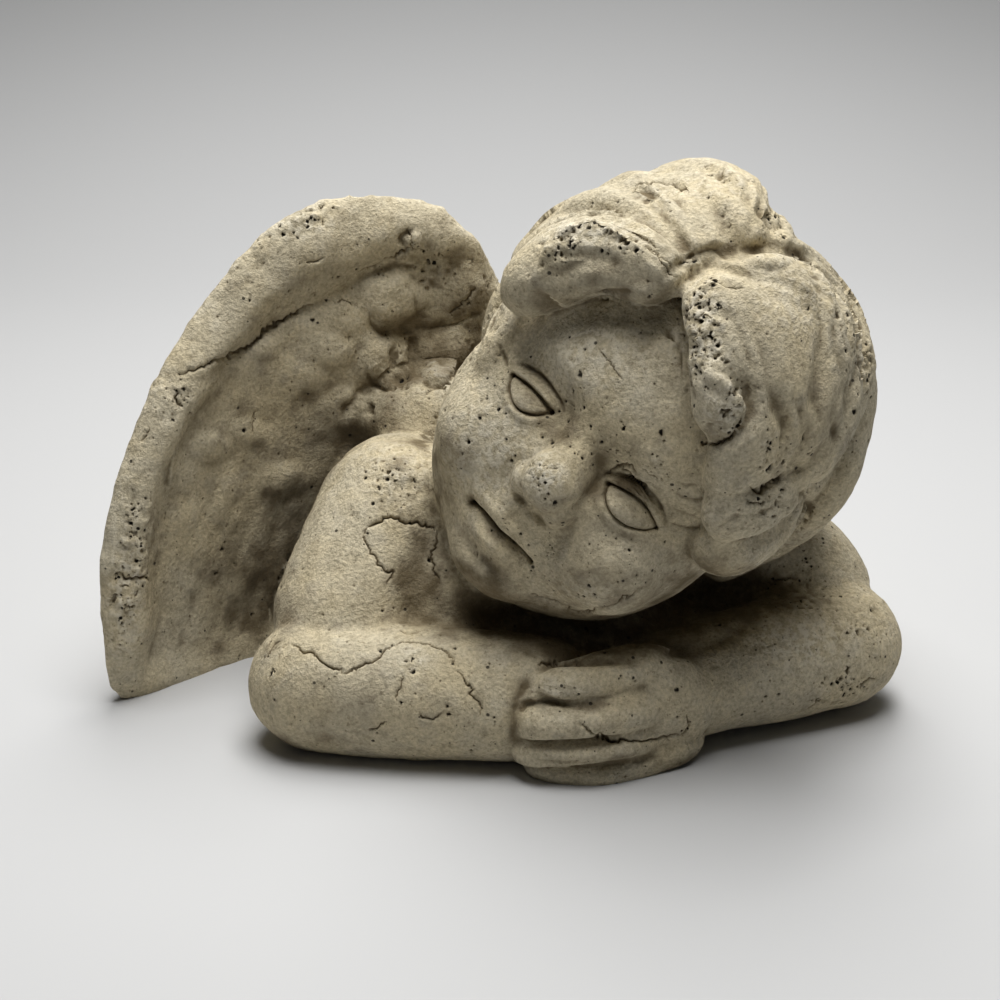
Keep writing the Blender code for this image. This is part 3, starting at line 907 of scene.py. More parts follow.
    def lock(self, clay: Clay, angles: Line, lifts: Point, widths: Point, heights: Point) -> None:
        """Lay one lock.

        Args:
            clay: where it is laid.
            angles: its middle line, in degrees on the skull.
            lifts: how far the line lies off the skull, along the lock.
            widths: half sizes across, along the lock.
            heights: half sizes away from the skull.
        """
        head = self.pose.matrix()
        turn = head.to_3x3()
        skull = np.array(self.pose.skull)
        raised = spread(lifts, np.linspace(0, 1, len(angles)))
        local = [self.pose.on_skull(a, e, r) for (a, e), r in zip(angles, raised)]
        ups = [(turn @ Vector(p / skull ** 2)).normalized() for p in local]
        clay.draw_out([head @ Vector(p) for p in local], widths, heights, ups)

    def add(self, clay: Clay) -> None:
        """Add the front locks and the plainer wavy ones down the back."""
        for lock in self.front:
            self.lock(clay, *lock)
        for azimuth in np.linspace(*self.back_span, self.back_locks):
            wave = [(azimuth + aside, up) for aside, up in self.back_wave]
            self.lock(clay, wave, self.back_lifts, self.back_widths, self.back_heights)

    def carve(self, skin: Skin) -> None:
        """Cut lines and fine strands towards the middle of the head, darkened with grimy stain and painted
        shade.
        """
        skull = np.array(self.pose.skull)
        local = self.pose.local(skin.coords) / skull
        size = np.linalg.norm(local, axis=1)
        reach = float(np.mean(self.pose.skull))
        sphere = reach * local / size[:, None]
        outward = directions(skin.coords - np.array(self.pose.centre))
        hair = (size > self.shell[0]) & (size < self.shell[1])
        view = View(skin, sphere, outward, hair.astype(float))

        def laid(angles: Line) -> Line:
            """Degrees on the skull as points of the view."""
            return [reach * self.pose.on_skull(a, e) / skull for a, e in angles]

        for angles, width, cut, dirt_and_shade in self.lines:
            view.line(laid(angles), width, cut, dirt_and_shade)
        rng = np.random.default_rng(self.seed)
        for angles, _, widths, _ in self.front[:self.combed_locks]:
            spacing = self.strand_spread * float(np.mean(widths)) / self.strands
            for k in range(self.strands):
                offset = (k - 0.5 * (self.strands - 1)) * spacing + rng.normal(0, 0.7)
                start = rng.uniform(*self.strand_start)
                shares = np.linspace(start, start + rng.uniform(*self.strand_length), 6)
                middle = curve_at(laid(angles), shares)
                across = directions(np.cross(np.gradient(middle, axis=0), middle))
                strand = middle + offset * across + rng.normal(0, 0.4, middle.shape)
                width = rng.uniform(*self.strand_width)
                view.line(strand, width, rng.uniform(*self.strand_depth), self.strand_dirt_and_shade)
        view.press()


# Body, arms and hand

@dataclass
class Torso(Form):
    """Back, chest and neck under the head."""

    # middle and half widths: back, left side, root of the left wing, chest, right breast, and
    # the filled space behind the right shoulder
    masses: tuple = (((20, 46, 36), (62, 40, 42)), ((70, 38, 26), (34, 26, 34)),
                     ((62, 64, 42), (44, 24, 42)), ((22, 6, 14), (66, 26, 28)),
                     ((-16, 16, 34), (30, 26, 27)), ((-22, 60, 80), (24, 14, 17)))
    neck: Line = ((4, 34, 55), (20, 18, 68), (34, 8, 84))
    neck_radii: Point = (30, 27, 28)

    def lay(self, clay: Clay) -> None:
        """Lay the round masses of the body, then the neck."""
        for centre, semi in self.masses:
            clay.ball(centre, semi)
        clay.limb(self.neck, self.neck_radii)


@dataclass
class FoldedArms(Form):
    """Both arms, folded in front, with the left hand over the end of the right forearm."""

    # upper arm and forearm, right and then left: points of the middle line, and radii along it
    limbs: tuple = (
        (((-20, 46, 72), (-33, 30, 61), (-47, 10, 40), (-59, -12, 17)), (22, 25.5, 24.5, 22)),
        (((-75, -4, 18), (-60, -15, 19), (-30, -21, 19), (12, -26, 19), (34, -22, 18)),
         (19, 22, 21.5, 20, 14)),
        (((54, 56, 62), (74, 48, 52), (99, 30, 33.5), (114, 12, 19)), (22, 24, 23.5, 19)),
        (((132, 16, 18), (112, 9, 20), (86, -3, 20), (58, -15, 19), (34, -24, 19)),
         (16, 21, 20, 18, 14)),
    )
    # back of the hand, as middle and half widths, and the fingers from the first to the last
    palm: Line = ((44, -27, 19), (23, 14, 18))
    fingers: tuple = (((54, -26, 33), (30, -37, 32.5), (4, -38, 28)),
                      ((52, -34, 22), (28, -43, 21.5), (2, -42, 18.5)),
                      ((50, -34, 12), (28, -43, 11), (2, -42, 9.5)),
                      ((64, -27, 7), (32, -39.5, 2), (6, -38, 3)))
    finger_widths: Point = (6.5, 7.2, 5.6)
    finger_heights: Point = (6.6, 6.8, 5.6)
    finger_up: Point = (0, -0.2, 1)
    # lines between the fingers, seen from the front: across and up
    finger_lines: tuple = (((10, 38.5), (26, 40), (46, 39.5)), ((6, 26), (22, 26.5), (36, 27.5)),
                           ((6, 14.5), (22, 15.5), (38, 16.5)), ((8, 5), (24, 6), (38, 7)))

    def lay(self, clay: Clay) -> None:
        """Lay the upper arms and forearms."""
        for points, radii in self.limbs:
            clay.limb(points, radii)

    def add(self, clay: Clay) -> None:
        """Add the back of the hand and four fingers."""
        clay.ball(*self.palm)
        for points in self.fingers:
            clay.draw_out(points, self.finger_widths, self.finger_heights, (self.finger_up,), cap=1.0)

    def carve(self, skin: Skin) -> None:
        """Cut the lines between the fingers, straight back into the hand, darkened with grimy stain and
        painted shade.
        """
        flat = skin.coords[:, [0, 2]]
        front = held((-24 - skin.coords[:, 1]) / 6)
        view = View(skin, flat, np.array((0.0, -1.0, 0.0)), front)
        for line in self.finger_lines:
            view.line(line, 1.5, 2.6, dirt_and_shade=0.55)
        view.press()


# Wings

@dataclass
class Wing(Form):
    """A wing that stands upright on a round wall, as a plate with a cushioned edge."""

    root: Point
    radius: float
    outline: Line
    heart: Point
    back_feathers: int
    thickness: float = 15.0
    rim_steps: int = 110
    rings: int = 14
    fullness: float = 7.0
    # how far beyond the plate its points still count, and over what length they fade out
    margin: float = 5.0
    fade: float = 4.0

    @property
    def axis(self) -> Array:
        """Plan place of the wall's axis, straight in front of the root."""
        return np.array((self.root[0], self.root[1] - self.radius))

    def lay(self, clay: Clay) -> None:
        """Lay the plate: a ball pressed flat, its middle ring drawn out to the rim."""
        body, unit = clay.round(self.rim_steps, 2 * self.rings)
        rim = curve_at(self.outline + self.outline[:1], np.linspace(0, 1, self.rim_steps + 1))
        ring = np.rint(np.arccos(np.clip(unit[:, 2], -1, 1)) / math.pi * 2 * self.rings)
        turn = np.arctan2(unit[:, 1], unit[:, 0]) / (2 * math.pi) * self.rim_steps
        corner = np.rint(turn).astype(int) % self.rim_steps
        share = 1 - np.abs(self.rings - ring) / self.rings
        out = np.sign(self.rings - ring) * 0.5 * self.thickness * np.sqrt(1 - share ** self.fullness)
        place = np.array(self.heart) + share[:, None] * (rim[corner] - np.array(self.heart))
        angle = np.radians(place[:, 0])
        reach = self.radius - out
        plan = self.axis + reach[:, None] * np.stack([-np.sin(angle), np.cos(angle)], axis=1)
        write(body.data, np.column_stack([plan, place[:, 1]]))

    def unrolled(self, points: Line) -> Line:
        """Points of the wall with their degrees turned into lengths."""
        return [(math.radians(a) * self.radius, z) for a, z in points]

    def views(self, skin: Skin, within: Array) -> tuple[View, View]:
        """Views of the wing's front and back.

        Args:
            skin: the skin to be worked.
            within: which points may belong to this wing.

        Returns:
            The front's view and the back's view, both raised away from the plate.
        """
        inward = self.axis - skin.coords[:, :2]
        reach = np.linalg.norm(inward, axis=1)
        inward /= reach[:, None]
        angle = np.arctan2(inward[:, 0], -inward[:, 1])
        flat = np.stack([angle * self.radius, skin.coords[:, 2]], axis=1)
        inside = 0.5 * self.thickness + self.margin - np.abs(self.radius - reach)
        near = held(inside / self.fade) * within
        facing = np.clip(2 * np.sum(inward * skin.normals[:, :2], axis=1), -1, 1)
        way = np.column_stack([inward, np.zeros(len(inward))])
        return (View(skin, flat, way, near * np.maximum(facing, 0)),
                View(skin, flat, -way, near * np.maximum(-facing, 0)))

    def carve_back(self, view: View) -> None:
        """Cut upright lines between long feathers, lightly darkened with grimy stain and painted shade.

        Args:
            view: the wing's back.
        """
        first = min(a for a, _ in self.outline)
        last = max(a for a, _ in self.outline)
        for a in np.linspace(first, last, self.back_feathers + 1)[1:-1]:
            line = ((0.75 * a + 2, 100), (0.95 * a, 55), (1.02 * a, 3))
            view.line(self.unrolled(line), 2.4, 1.6, dirt_and_shade=0.2)


@dataclass
class OpenWing(Wing):
    """The right wing, whose front shows its rolled edge and small knobbly feathers."""

    root: Point = (23.6, 81.8)
    radius: float = 191.0
    outline: Line = ((3, 20), (2, 90), (7, 127), (12, 149.5), (19.5, 158.5), (26.6, 156.5),
                     (34.3, 144.5), (40.2, 125), (46.6, 99.5), (51.2, 74), (53.9, 46), (54.2, 20),
                     (53.8, 7), (52.2, -2), (48, -8), (40, -10), (14, -10))
    heart: Point = (27, 68)
    back_feathers: int = 7
    band: Line = ((8, 141), (16, 143), (26, 138), (34, 124), (41, 106), (47, 84), (50, 56), (50.5, 26))
    band_groove: Line = ((13, 134), (20, 132), (26, 123.5), (32, 117), (38, 108), (42, 105))
    feather_lines: int = 7
    # the rolled edge's width, the fade beside it, and how far the panel inside it is sunk
    edge_width: float = 9.0
    edge_fade: float = 14.0
    relief: float = 3.4

    def carve(self, skin: Skin) -> None:
        """Raise and cut the front, and cut the back."""
        front, back = self.views(skin, skin.coords[:, 0] < self.root[0])
        rim = curve_at(self.unrolled(self.outline + self.outline[:1]), np.linspace(0, 1, 80))
        gap, _ = nearest(front.flat, rim)
        panel = held((gap - self.edge_width) / self.edge_fade)
        front.height -= self.relief * panel * panel * (3 - 2 * panel)
        front.line(self.unrolled(self.band), self.edge_width, -self.relief, tapered=False)
        front.line(self.unrolled(self.band_groove), 3.0, 1.8)
        # feather lines, lightly darkened with grime and painted shade
        for k in range(self.feather_lines):
            feather = ((17 + 3.6 * k, 80 - 2 * k), (22 + 3.9 * k, 44 - k), (26 + 4.1 * k, 2))
            front.line(self.unrolled(feather), 2.0, 0.45, dirt_and_shade=0.2)
        front.press()
        self.carve_back(back)
        back.press()


@dataclass
class FoldedWing(Wing):
    """The left wing, folded behind the head and plain."""

    root: Point = (60.0, 88.0)
    radius: float = 150.0
    outline: Line = ((14, 20), (13, 90), (9, 118), (2, 130), (-6, 126), (-13, 112), (-18, 92),
                     (-21, 62), (-22, 30), (-21, -4), (-8, -10), (6, -10))
    heart: Point = (-3, 60)
    back_feathers: int = 6

    def carve(self, skin: Skin) -> None:
        """Cut the back."""
        within = (skin.coords[:, 0] > 26) & (skin.coords[:, 1] > 60)
        _, back = self.views(skin, within)
        self.carve_back(back)
        back.press()


# Weather and casting marks

@dataclass(frozen=True)
class Viewpoint:
    """Where the picture is taken from, in the design frame; its places are in parts of 1000."""

    elevation: float = 22.0
    distance: float = 550.0
    height: float = 75.0
    lens: float = 63.36
    sensor: float = 36.0
    picture: float = 1000.0

    def toward(self) -> Array:
        """Direction from the statue to the camera."""
        tip = math.radians(self.elevation)
        return np.array((0.0, -math.cos(tip), math.sin(tip)))

    def eye(self) -> Array:
        """Place of the camera."""
        return np.array((0.0, 0.0, self.height)) + self.distance * self.toward()

    def project(self, coords: Array) -> tuple[Array, Array]:
        """Throw points onto the picture.

        Args:
            coords: points of the design frame, one a row.

        Returns:
            Their places in the picture, across and down, and their distances from the camera.
        """
        toward = self.toward()
        up = np.array((0.0, toward[2], -toward[1]))
        offset = coords - self.eye()
        depth = -(offset @ toward)
        reach = self.lens / self.sensor * self.picture
        middle = 0.5 * self.picture
        across = middle + reach * offset[:, 0] / depth
        down = middle - reach * (offset @ up) / depth
        return np.stack([across, down], axis=1), depth


# Cracks that show, as places in the picture, with width and depth in shares
CRACKS = (
    # wing: under the rolled edge, at its top, and by the head
    (((310, 304), (284, 319), (260, 332), (232, 354), (209, 363), (176, 374)), 0.75, 1.7),
    (((304, 262), (321, 256)), 0.5, 0.8),
    (((356, 270), (372, 264), (388, 259), (400, 250), (410, 246)), 0.6, 1.2),
    (((407, 226), (409, 236), (412, 246), (424, 250)), 0.45, 0.8),
    (((450, 312), (459, 302), (466, 294), (474, 289)), 0.5, 0.9),
    (((174, 392), (173, 399), (179, 406)), 0.6, 1.1),
    (((146, 425), (141, 436), (137, 441)), 0.5, 0.8),
    (((255, 410), (251, 421), (247, 431)), 0.4, 0.6),
    (((112, 577), (124, 578), (138, 577), (147, 580)), 0.7, 1.2),
    (((330, 300), (342, 301), (352, 306)), 0.4, 0.6),
    # shoulder plate and chest
    (((367, 526), (376, 520), (386, 517), (396, 519), (410, 523)), 0.7, 1.5),
    (((367, 526), (364, 534), (366, 545), (376, 559), (384, 571), (391, 573), (385, 584)), 0.5, 1.0),
    (((410, 523), (421, 526), (433, 531)), 0.6, 1.1),
    (((435, 532), (432, 546), (430, 560), (434, 573), (435, 587)), 0.45, 0.8),
    # right arm
    (((289, 644), (302, 652), (314, 658), (328, 668), (339, 673)), 0.55, 1.1),
    (((339, 673), (356, 667), (373, 659), (390, 645)), 0.5, 0.9),
    (((390, 645), (402, 640), (413, 641), (425, 643), (440, 648), (450, 656), (456, 672)), 0.45, 0.8),
    (((456, 672), (464, 684), (469, 693), (476, 704), (479, 717)), 0.55, 1.1),
    (((279, 641), (270, 648), (265, 657)), 0.5, 0.9),
    (((401, 676), (398, 688), (395, 702)), 0.4, 0.7),
    (((418, 712), (424, 718), (434, 720), (440, 714)), 0.45, 0.8),
    (((368, 732), (376, 727), (384, 722)), 0.45, 0.8),
    (((398, 627), (408, 632), (418, 628)), 0.45, 0.8),
    # hand
    (((578, 724), (588, 731), (601, 737), (622, 740), (642, 741), (664, 739), (683, 737)), 0.6, 1.3),
    (((683, 737), (688, 728), (689, 718)), 0.5, 0.9),
    (((537, 664), (550, 660), (567, 659), (585, 663)), 0.5, 0.9),
    # scratches over the left eye
    (((604, 477), (609, 469), (618, 465), (629, 468), (637, 476)), 0.9, 0.9),
    (((615, 467), (627, 473), (638, 482), (647, 492), (654, 503)), 0.8, 0.8),
    (((640, 466), (649, 474), (657, 480)), 0.35, 0.5),
    # jaw and forehead
    (((530, 594), (550, 602), (575, 612), (599, 611), (624, 601), (646, 587)), 0.65, 1.0),
    (((598, 347), (610, 363), (622, 381)), 0.35, 0.4),
    # hair: at the crown, along the parting, by the left temple
    (((626, 186), (650, 180), (671, 180), (693, 187)), 0.5, 0.8),
    (((619, 229), (640, 238), (655, 252), (668, 268), (678, 276)), 0.45, 0.7),
    (((600, 214), (622, 222), (645, 236), (664, 256), (680, 272)), 0.35, 0.5),
    (((751, 489), (762, 490), (775, 483), (788, 474)), 0.6, 1.2),
    (((748, 500), (760, 504), (768, 500)), 0.45, 0.8),
    (((738, 417), (736, 428), (729, 438), (716, 443), (703, 444)), 0.7, 1.6),
    (((700, 275), (720, 284), (745, 288)), 0.3, 0.4),
    # left arm and elbow
    (((768, 586), (780, 580), (798, 578)), 0.55, 1.0),
    (((809, 711), (817, 704), (828, 700)), 0.5, 0.9),
    (((860, 690), (868, 682), (878, 676)), 0.45, 0.8),
)

# Single air holes, as places in the picture and radius in shares
AIR_HOLES = (
    (371, 503, 1.3), (363, 477, 1.2), (394, 518, 1.1), (411, 523, 1.4), (381, 611, 1.0),
    (359, 633, 0.9), (390, 645, 1.2), (272, 672, 0.9), (272, 686, 0.7), (322, 687, 0.7),
    (410, 661, 1.0), (413, 671, 0.7), (438, 681, 0.8), (445, 707, 1.0), (265, 657, 0.9),
    (248, 300, 1.1), (433, 261, 1.4), (306, 222, 1.5), (312, 220, 1.1), (375, 213, 0.8),
    (356, 243, 0.8), (388, 308, 0.8), (378, 302, 0.8), (129, 505, 1.3), (135, 503, 1.0),
    (127, 537, 1.1), (142, 531, 1.2), (112, 579, 1.1), (144, 578, 1.0), (179, 406, 0.9),
    (209, 364, 1.1), (176, 374, 1.0), (399, 377, 1.8), (405, 374, 1.3), (369, 415, 1.2),
    (540, 256, 1.3), (598, 249, 1.3), (604, 252, 1.0), (589, 200, 0.9), (616, 200, 0.9),
    (622, 197, 0.9), (570, 279, 0.5), (555, 289, 0.5), (715, 358, 1.7), (693, 374, 1.0),
    (682, 297, 0.9), (706, 387, 0.9), (693, 387, 0.9), (703, 443, 1.2), (728, 431, 1.1),
    (768, 417, 0.9), (770, 430, 0.9), (773, 444, 1.3), (773, 467, 1.7), (781, 463, 1.2),
    (768, 333, 0.9), (809, 307, 0.8), (820, 359, 0.8), (853, 452, 0.9), (861, 394, 1.0),
    (820, 487, 0.8), (847, 466, 0.7), (568, 336, 1.0), (571, 390, 0.8), (579, 388, 0.8),
    (583, 407, 1.1), (564, 383, 0.6), (612, 401, 0.6), (605, 373, 0.6), (633, 321, 0.6),
    (641, 329, 0.6), (622, 425, 0.7), (652, 455, 0.9), (630, 455, 0.8), (666, 475, 0.8),
    (650, 472, 0.7), (468, 433, 0.5), (499, 451, 0.6), (528, 466, 0.8), (534, 465, 0.6),
    (537, 486, 0.8), (547, 494, 1.0), (556, 468, 0.7), (491, 530, 0.9), (517, 528, 0.8),
    (520, 534, 1.0), (527, 546, 0.8), (534, 556, 0.8), (587, 564, 0.7), (588, 573, 0.6),
    (562, 565, 0.5), (621, 573, 0.6), (578, 695, 1.2), (619, 679, 0.8), (632, 716, 0.9),
    (681, 703, 0.6), (537, 688, 0.8), (670, 716, 0.6), (840, 684, 1.3), (851, 690, 1.1),
    (806, 558, 1.1), (812, 566, 1.0), (843, 594, 0.8), (857, 622, 0.7), (731, 621, 0.9),
    (493, 718, 0.8), (481, 674, 0.7), (684, 621, 0.8), (800, 580, 1.0), (785, 236, 1.3),
)

# Soft grooves between locks and fingers, as places in the picture, with width, depth, and dirt with
# painted shade
GROOVES = (
    # the top lock, the parting and the forelock
    (((611, 184), (643, 196), (668, 222), (688, 248), (692, 262)), 7, 1.7, 0.3),
    (((652, 172), (692, 192), (718, 218), (735, 245)), 8, 1.8, 0.3),
    (((700, 164), (735, 186), (760, 210), (775, 236)), 6, 1.5, 0.3),
    (((663, 278), (684, 262), (711, 250), (739, 252), (775, 243)), 6, 1.8, 0.35),
    (((512, 242), (540, 214), (585, 206), (628, 224), (662, 254)), 8, 1.6, 0.2),
    (((528, 294), (543, 258), (568, 230), (598, 224), (632, 243), (664, 275)), 4.5, -1.5, 0.0),
    (((545, 290), (568, 266), (598, 258), (630, 272)), 15, 2.4, 0.25),
    (((598, 296), (614, 294), (630, 293)), 4, 1.6, 0.75),
    (((700, 368), (722, 384), (739, 402), (741, 420), (726, 436)), 6, -1.6, 0.0),
    (((722, 402), (722, 418), (712, 428), (700, 428)), 5, 1.3, 0.2),
    (((604, 236), (628, 244), (655, 262), (672, 280)), 3, 0.6, 0.2),
    # the broad mass on the right, its waves and its lower lobes
    (((774, 244), (804, 256), (820, 284), (824, 322), (820, 371), (815, 403), (826, 428)), 6, 1.5, 0.28),
    (((826, 257), (850, 284), (862, 324), (864, 358), (852, 397), (848, 440)), 6, 1.7, 0.3),
    (((738, 300), (752, 326), (766, 360), (774, 397), (788, 430)), 8, 1.3, 0.2),
    (((842, 300), (836, 340), (846, 380), (836, 420), (840, 470)), 5, 1.1, 0.22),
    (((782, 480), (802, 452), (806, 424), (796, 396)), 6, 1.4, 0.35),
    (((722, 499), (753, 492), (785, 478), (812, 464)), 4, 0.8, 0.4),
    (((706, 541), (737, 519), (764, 512), (790, 500)), 4, 0.7, 0.35),
    (((795, 531), (808, 508), (800, 486)), 5, 1.3, 0.3),
    (((686, 300), (680, 340), (686, 380), (696, 410)), 4, 0.7, 0.35),
    (((700, 262), (730, 268), (760, 284), (780, 306)), 5, 0.8, 0.15),
    (((712, 250), (745, 262), (775, 268), (800, 262)), 5, 0.8, 0.15),
    # temple, ear and the lines beside the left eye
    (((668, 492), (690, 500), (712, 496)), 2.5, 0.5, 0.35),
    (((664, 505), (690, 515), (715, 510)), 2.5, 0.5, 0.3),
    (((672, 480), (684, 486), (700, 484)), 2.5, 0.5, 0.35),
    (((660, 520), (690, 528), (712, 524)), 2, 0.4, 0.25),
    (((480, 330), (492, 322), (500, 305)), 6, 1.2, 0.35),
    (((496, 342), (503, 355), (506, 369)), 3, 0.8, 0.5),
    # the hand: over the first finger, between the tips, and where it ends on the forearm
    (((536, 673), (545, 665), (560, 661), (593, 661), (640, 663)), 4.5, 1.8, 0.65),
    (((533, 690), (545, 699), (569, 706), (595, 707)), 4, 1.0, 0.7),
    (((518, 713), (526, 706), (535, 702)), 4, 1.2, 0.6),
    (((514, 757), (511, 735), (513, 711), (521, 690), (532, 675)), 8, 1.9, 0.45),
    (((526, 759), (569, 765), (616, 764), (663, 757)), 4, 1.0, 0.5),
    # the crease of the right elbow and the edge of the shoulder
    (((296, 629), (320, 627), (345, 626), (400, 628), (450, 634)), 9, 1.0, 0.1),
    (((640, 655), (690, 650), (730, 636), (752, 618)), 8, 1.2, 0.3),
)

# Places where an edge of the blended skin is eased away, and how far round each, in millimetres
EASED_PLACES = (
    (702, 448, 10), (704, 475, 11), (706, 505, 11), (710, 535, 11), (716, 560, 9), (698, 428, 8),
    (556, 320, 8), (582, 318, 9), (610, 313, 9), (640, 309, 9), (664, 304, 7), (536, 314, 7),
    (820, 345, 9), (822, 380, 9), (820, 412, 8), (755, 482, 10), (785, 472, 9), (745, 510, 10),
    (780, 500, 9), (402, 440, 12), (380, 436, 10), (684, 330, 7), (684, 365, 7), (688, 402, 8),
)

# Small knobbly feathers on the open wing, as places in the picture with both radii and height
KNOBS = (
    (392, 300, 30, 25, 4.2), (379, 359, 20, 23, 4.0), (402, 356, 10, 14, 1.8), (441, 358, 27, 23, 4.0),
    (427, 352, 9, 9, 0.9), (428, 373, 8, 8, 0.9), (340, 406, 22, 18, 2.0), (458, 292, 26, 22, 1.4),
    (345, 320, 18, 14, 1.4), (411, 240, 9, 8, 1.4), (283, 478, 24, 16, 2.3), (207, 446, 20, 14, 2.0),
    (245, 430, 20, 12, 1.3), (330, 350, 20, 16, 1.7), (300, 380, 24, 16, 1.5), (262, 345, 18, 12, 1.0),
    (225, 500, 16, 24, 1.2), (190, 520, 14, 26, 1.0), (160, 470, 14, 20, 1.0), (250, 545, 16, 30, 1.3),
)

# Hollows between them, darkened with grime and painted shade: places, width and depth in shares
CREVICES = (
    (((397, 332), (406, 327), (416, 325), (427, 328)), 1.7, 1.5), (((425, 329), (447, 325)), 1.0, 1.0),
    (((366, 310), (372, 323), (385, 330), (400, 328), (414, 318), (424, 305)), 1.2, 1.3),
    (((363, 366), (370, 379), (383, 386), (394, 384)), 1.2, 1.4),
    (((391, 378), (399, 377), (409, 373)), 1.5, 1.6),
    (((391, 344), (393, 358), (392, 372)), 1.0, 1.2), (((411, 338), (413, 352), (413, 368)), 1.2, 1.4),
    (((416, 374), (428, 385), (445, 384), (461, 370), (470, 354)), 1.3, 1.4),
    (((371, 402), (370, 409), (367, 417)), 1.4, 1.6), (((411, 290), (418, 305), (428, 318)), 1.0, 1.0),
    (((448, 325), (462, 318), (480, 311)), 0.8, 1.0), (((365, 383), (352, 392), (338, 424)), 1.4, 0.8),
    (((403, 247), (401, 240), (404, 233), (411, 229)), 0.7, 1.0),
)

# Brown stains and painted shade, many where the head, forelock and arms shade the stone: across, down,
# both radii in the picture, and strength
STAINS_AND_SHADE = (
    (415, 328, 40, 12, 0.9), (402, 378, 22, 10, 0.95), (460, 262, 34, 26, 0.35), (425, 275, 30, 14, 0.3),
    (470, 300, 26, 22, 0.4), (400, 415, 46, 30, 0.45), (256, 600, 60, 70, 0.55), (240, 640, 60, 30, 0.45),
    (330, 430, 50, 24, 0.25), (455, 590, 46, 40, 0.85), (430, 560, 34, 44, 0.65), (405, 600, 56, 32, 0.6),
    (500, 610, 70, 18, 0.75), (650, 640, 70, 14, 0.45), (720, 590, 60, 24, 0.8), (560, 285, 60, 14, 0.3),
    (620, 320, 60, 18, 0.35), (672, 330, 14, 50, 0.4), (558, 426, 26, 24, 0.8), (594, 472, 18, 38, 0.75),
    (640, 540, 40, 20, 0.3), (700, 450, 40, 26, 0.25), (520, 650, 60, 14, 0.45), (515, 700, 10, 40, 0.5),
    (480, 320, 16, 30, 0.35), (610, 655, 70, 10, 0.45), (300, 740, 60, 14, 0.3), (660, 760, 60, 12, 0.4),
    (700, 560, 40, 16, 0.5), (250, 320, 40, 12, 0.22),
    (425, 448, 44, 26, 0.65), (438, 510, 20, 60, 0.5), (590, 268, 44, 18, 0.3), (420, 380, 60, 50, 0.3),
    (640, 590, 60, 22, 0.35), (300, 620, 30, 60, 0.35), (610, 530, 60, 34, 0.35), (190, 380, 30, 14, 0.25),
    (400, 468, 44, 30, 0.45), (245, 395, 50, 40, 0.35),
    (424, 590, 40, 40, 1.0), (575, 272, 50, 16, 0.55), (350, 690, 80, 40, 0.36), (440, 690, 50, 40, 0.3),
    (300, 270, 50, 14, 0.2), (432, 350, 34, 30, 0.75), (460, 600, 60, 40, 0.95), (600, 305, 90, 18, 0.4),
    (400, 500, 40, 40, 0.45), (300, 430, 60, 60, 0.35), (340, 700, 90, 40, 0.35), (540, 500, 30, 16, 0.35),
    (590, 580, 60, 26, 0.3), (255, 480, 50, 60, 0.25), (300, 560, 26, 60, 0.35),
    (150, 560, 14, 80, 0.22), (830, 420, 30, 50, 0.22), (760, 380, 20, 60, 0.2), (690, 600, 60, 20, 0.6),
)

# Rough places: across, down, both radii in the picture, turn in degrees, and roughness
ROUGH_PATCHES = (
    (568, 238, 40, 12, 38, 1.0), (615, 236, 40, 12, -30, 1.0), (702, 332, 26, 58, 0, 1.0),
    (730, 404, 16, 30, -30, 1.0), (772, 452, 14, 26, 0, 0.7), (655, 198, 20, 12, -25, 0.6),
    (720, 172, 26, 6, -20, 0.7), (777, 214, 14, 30, -30, 0.8), (690, 262, 14, 12, 0, 0.6),
    (868, 365, 9, 34, 0, 0.8), (132, 540, 20, 70, 0, 0.7), (170, 395, 22, 30, 35, 0.6),
    (300, 222, 50, 14, 24, 0.7), (395, 480, 36, 34, 0, 0.7), (360, 520, 16, 20, 0, 0.5),
    (540, 480, 18, 18, 0, 0.5), (648, 465, 30, 12, -35, 0.5), (400, 372, 46, 42, 0, 0.45),
    (845, 685, 34, 20, 25, 0.6), (810, 570, 22, 22, 0, 0.6), (560, 690, 34, 12, 0, 0.4),
    (410, 665, 22, 18, 0, 0.4), (765, 505, 40, 26, -25, 0.45), (425, 265, 40, 26, 0, 0.5),
    (270, 650, 14, 24, 0, 0.4), (590, 400, 40, 22, 30, 0.25),
    (868, 640, 26, 60, 0, 0.5), (790, 590, 46, 24, -20, 0.5), (250, 262, 60, 18, 40, 0.45),
    (118, 600, 18, 60, 0, 0.8), (470, 330, 30, 50, 0, 0.4), (850, 330, 20, 50, 0, 0.4),
)

# Pale places, worn and painted light, several lighting forehead, cheek and arms: across, down and both
# radii in the picture, and strength
WORN_AND_LIT_PLACES = (
    (600, 230, 60, 16, 0.7), (545, 475, 20, 22, 0.9), (395, 470, 40, 34, 0.35), (700, 330, 26, 44, 0.9),
    (722, 410, 18, 26, 0.8), (300, 225, 40, 12, 0.5), (700, 185, 60, 14, 0.4), (800, 262, 50, 14, 0.3),
    (365, 315, 24, 18, 0.3), (440, 370, 20, 14, 0.35), (560, 690, 24, 12, 0.4), (410, 660, 18, 16, 0.5),
    (770, 560, 40, 12, 0.3), (125, 590, 16, 70, 0.6), (590, 350, 60, 40, 0.6), (580, 590, 40, 14, 0.3),
    (488, 450, 44, 54, 0.65), (735, 405, 12, 20, 0.7), (560, 230, 30, 12, 0.7),
    (800, 295, 54, 44, 0.4), (790, 640, 50, 30, 0.8),
)

# Places that chance holes keep off, the two closed eyes: across, down, both radii, and strength
CALM_PLACES = ((534, 393, 34, 34, 1.0), (632, 503, 38, 36, 1.0))


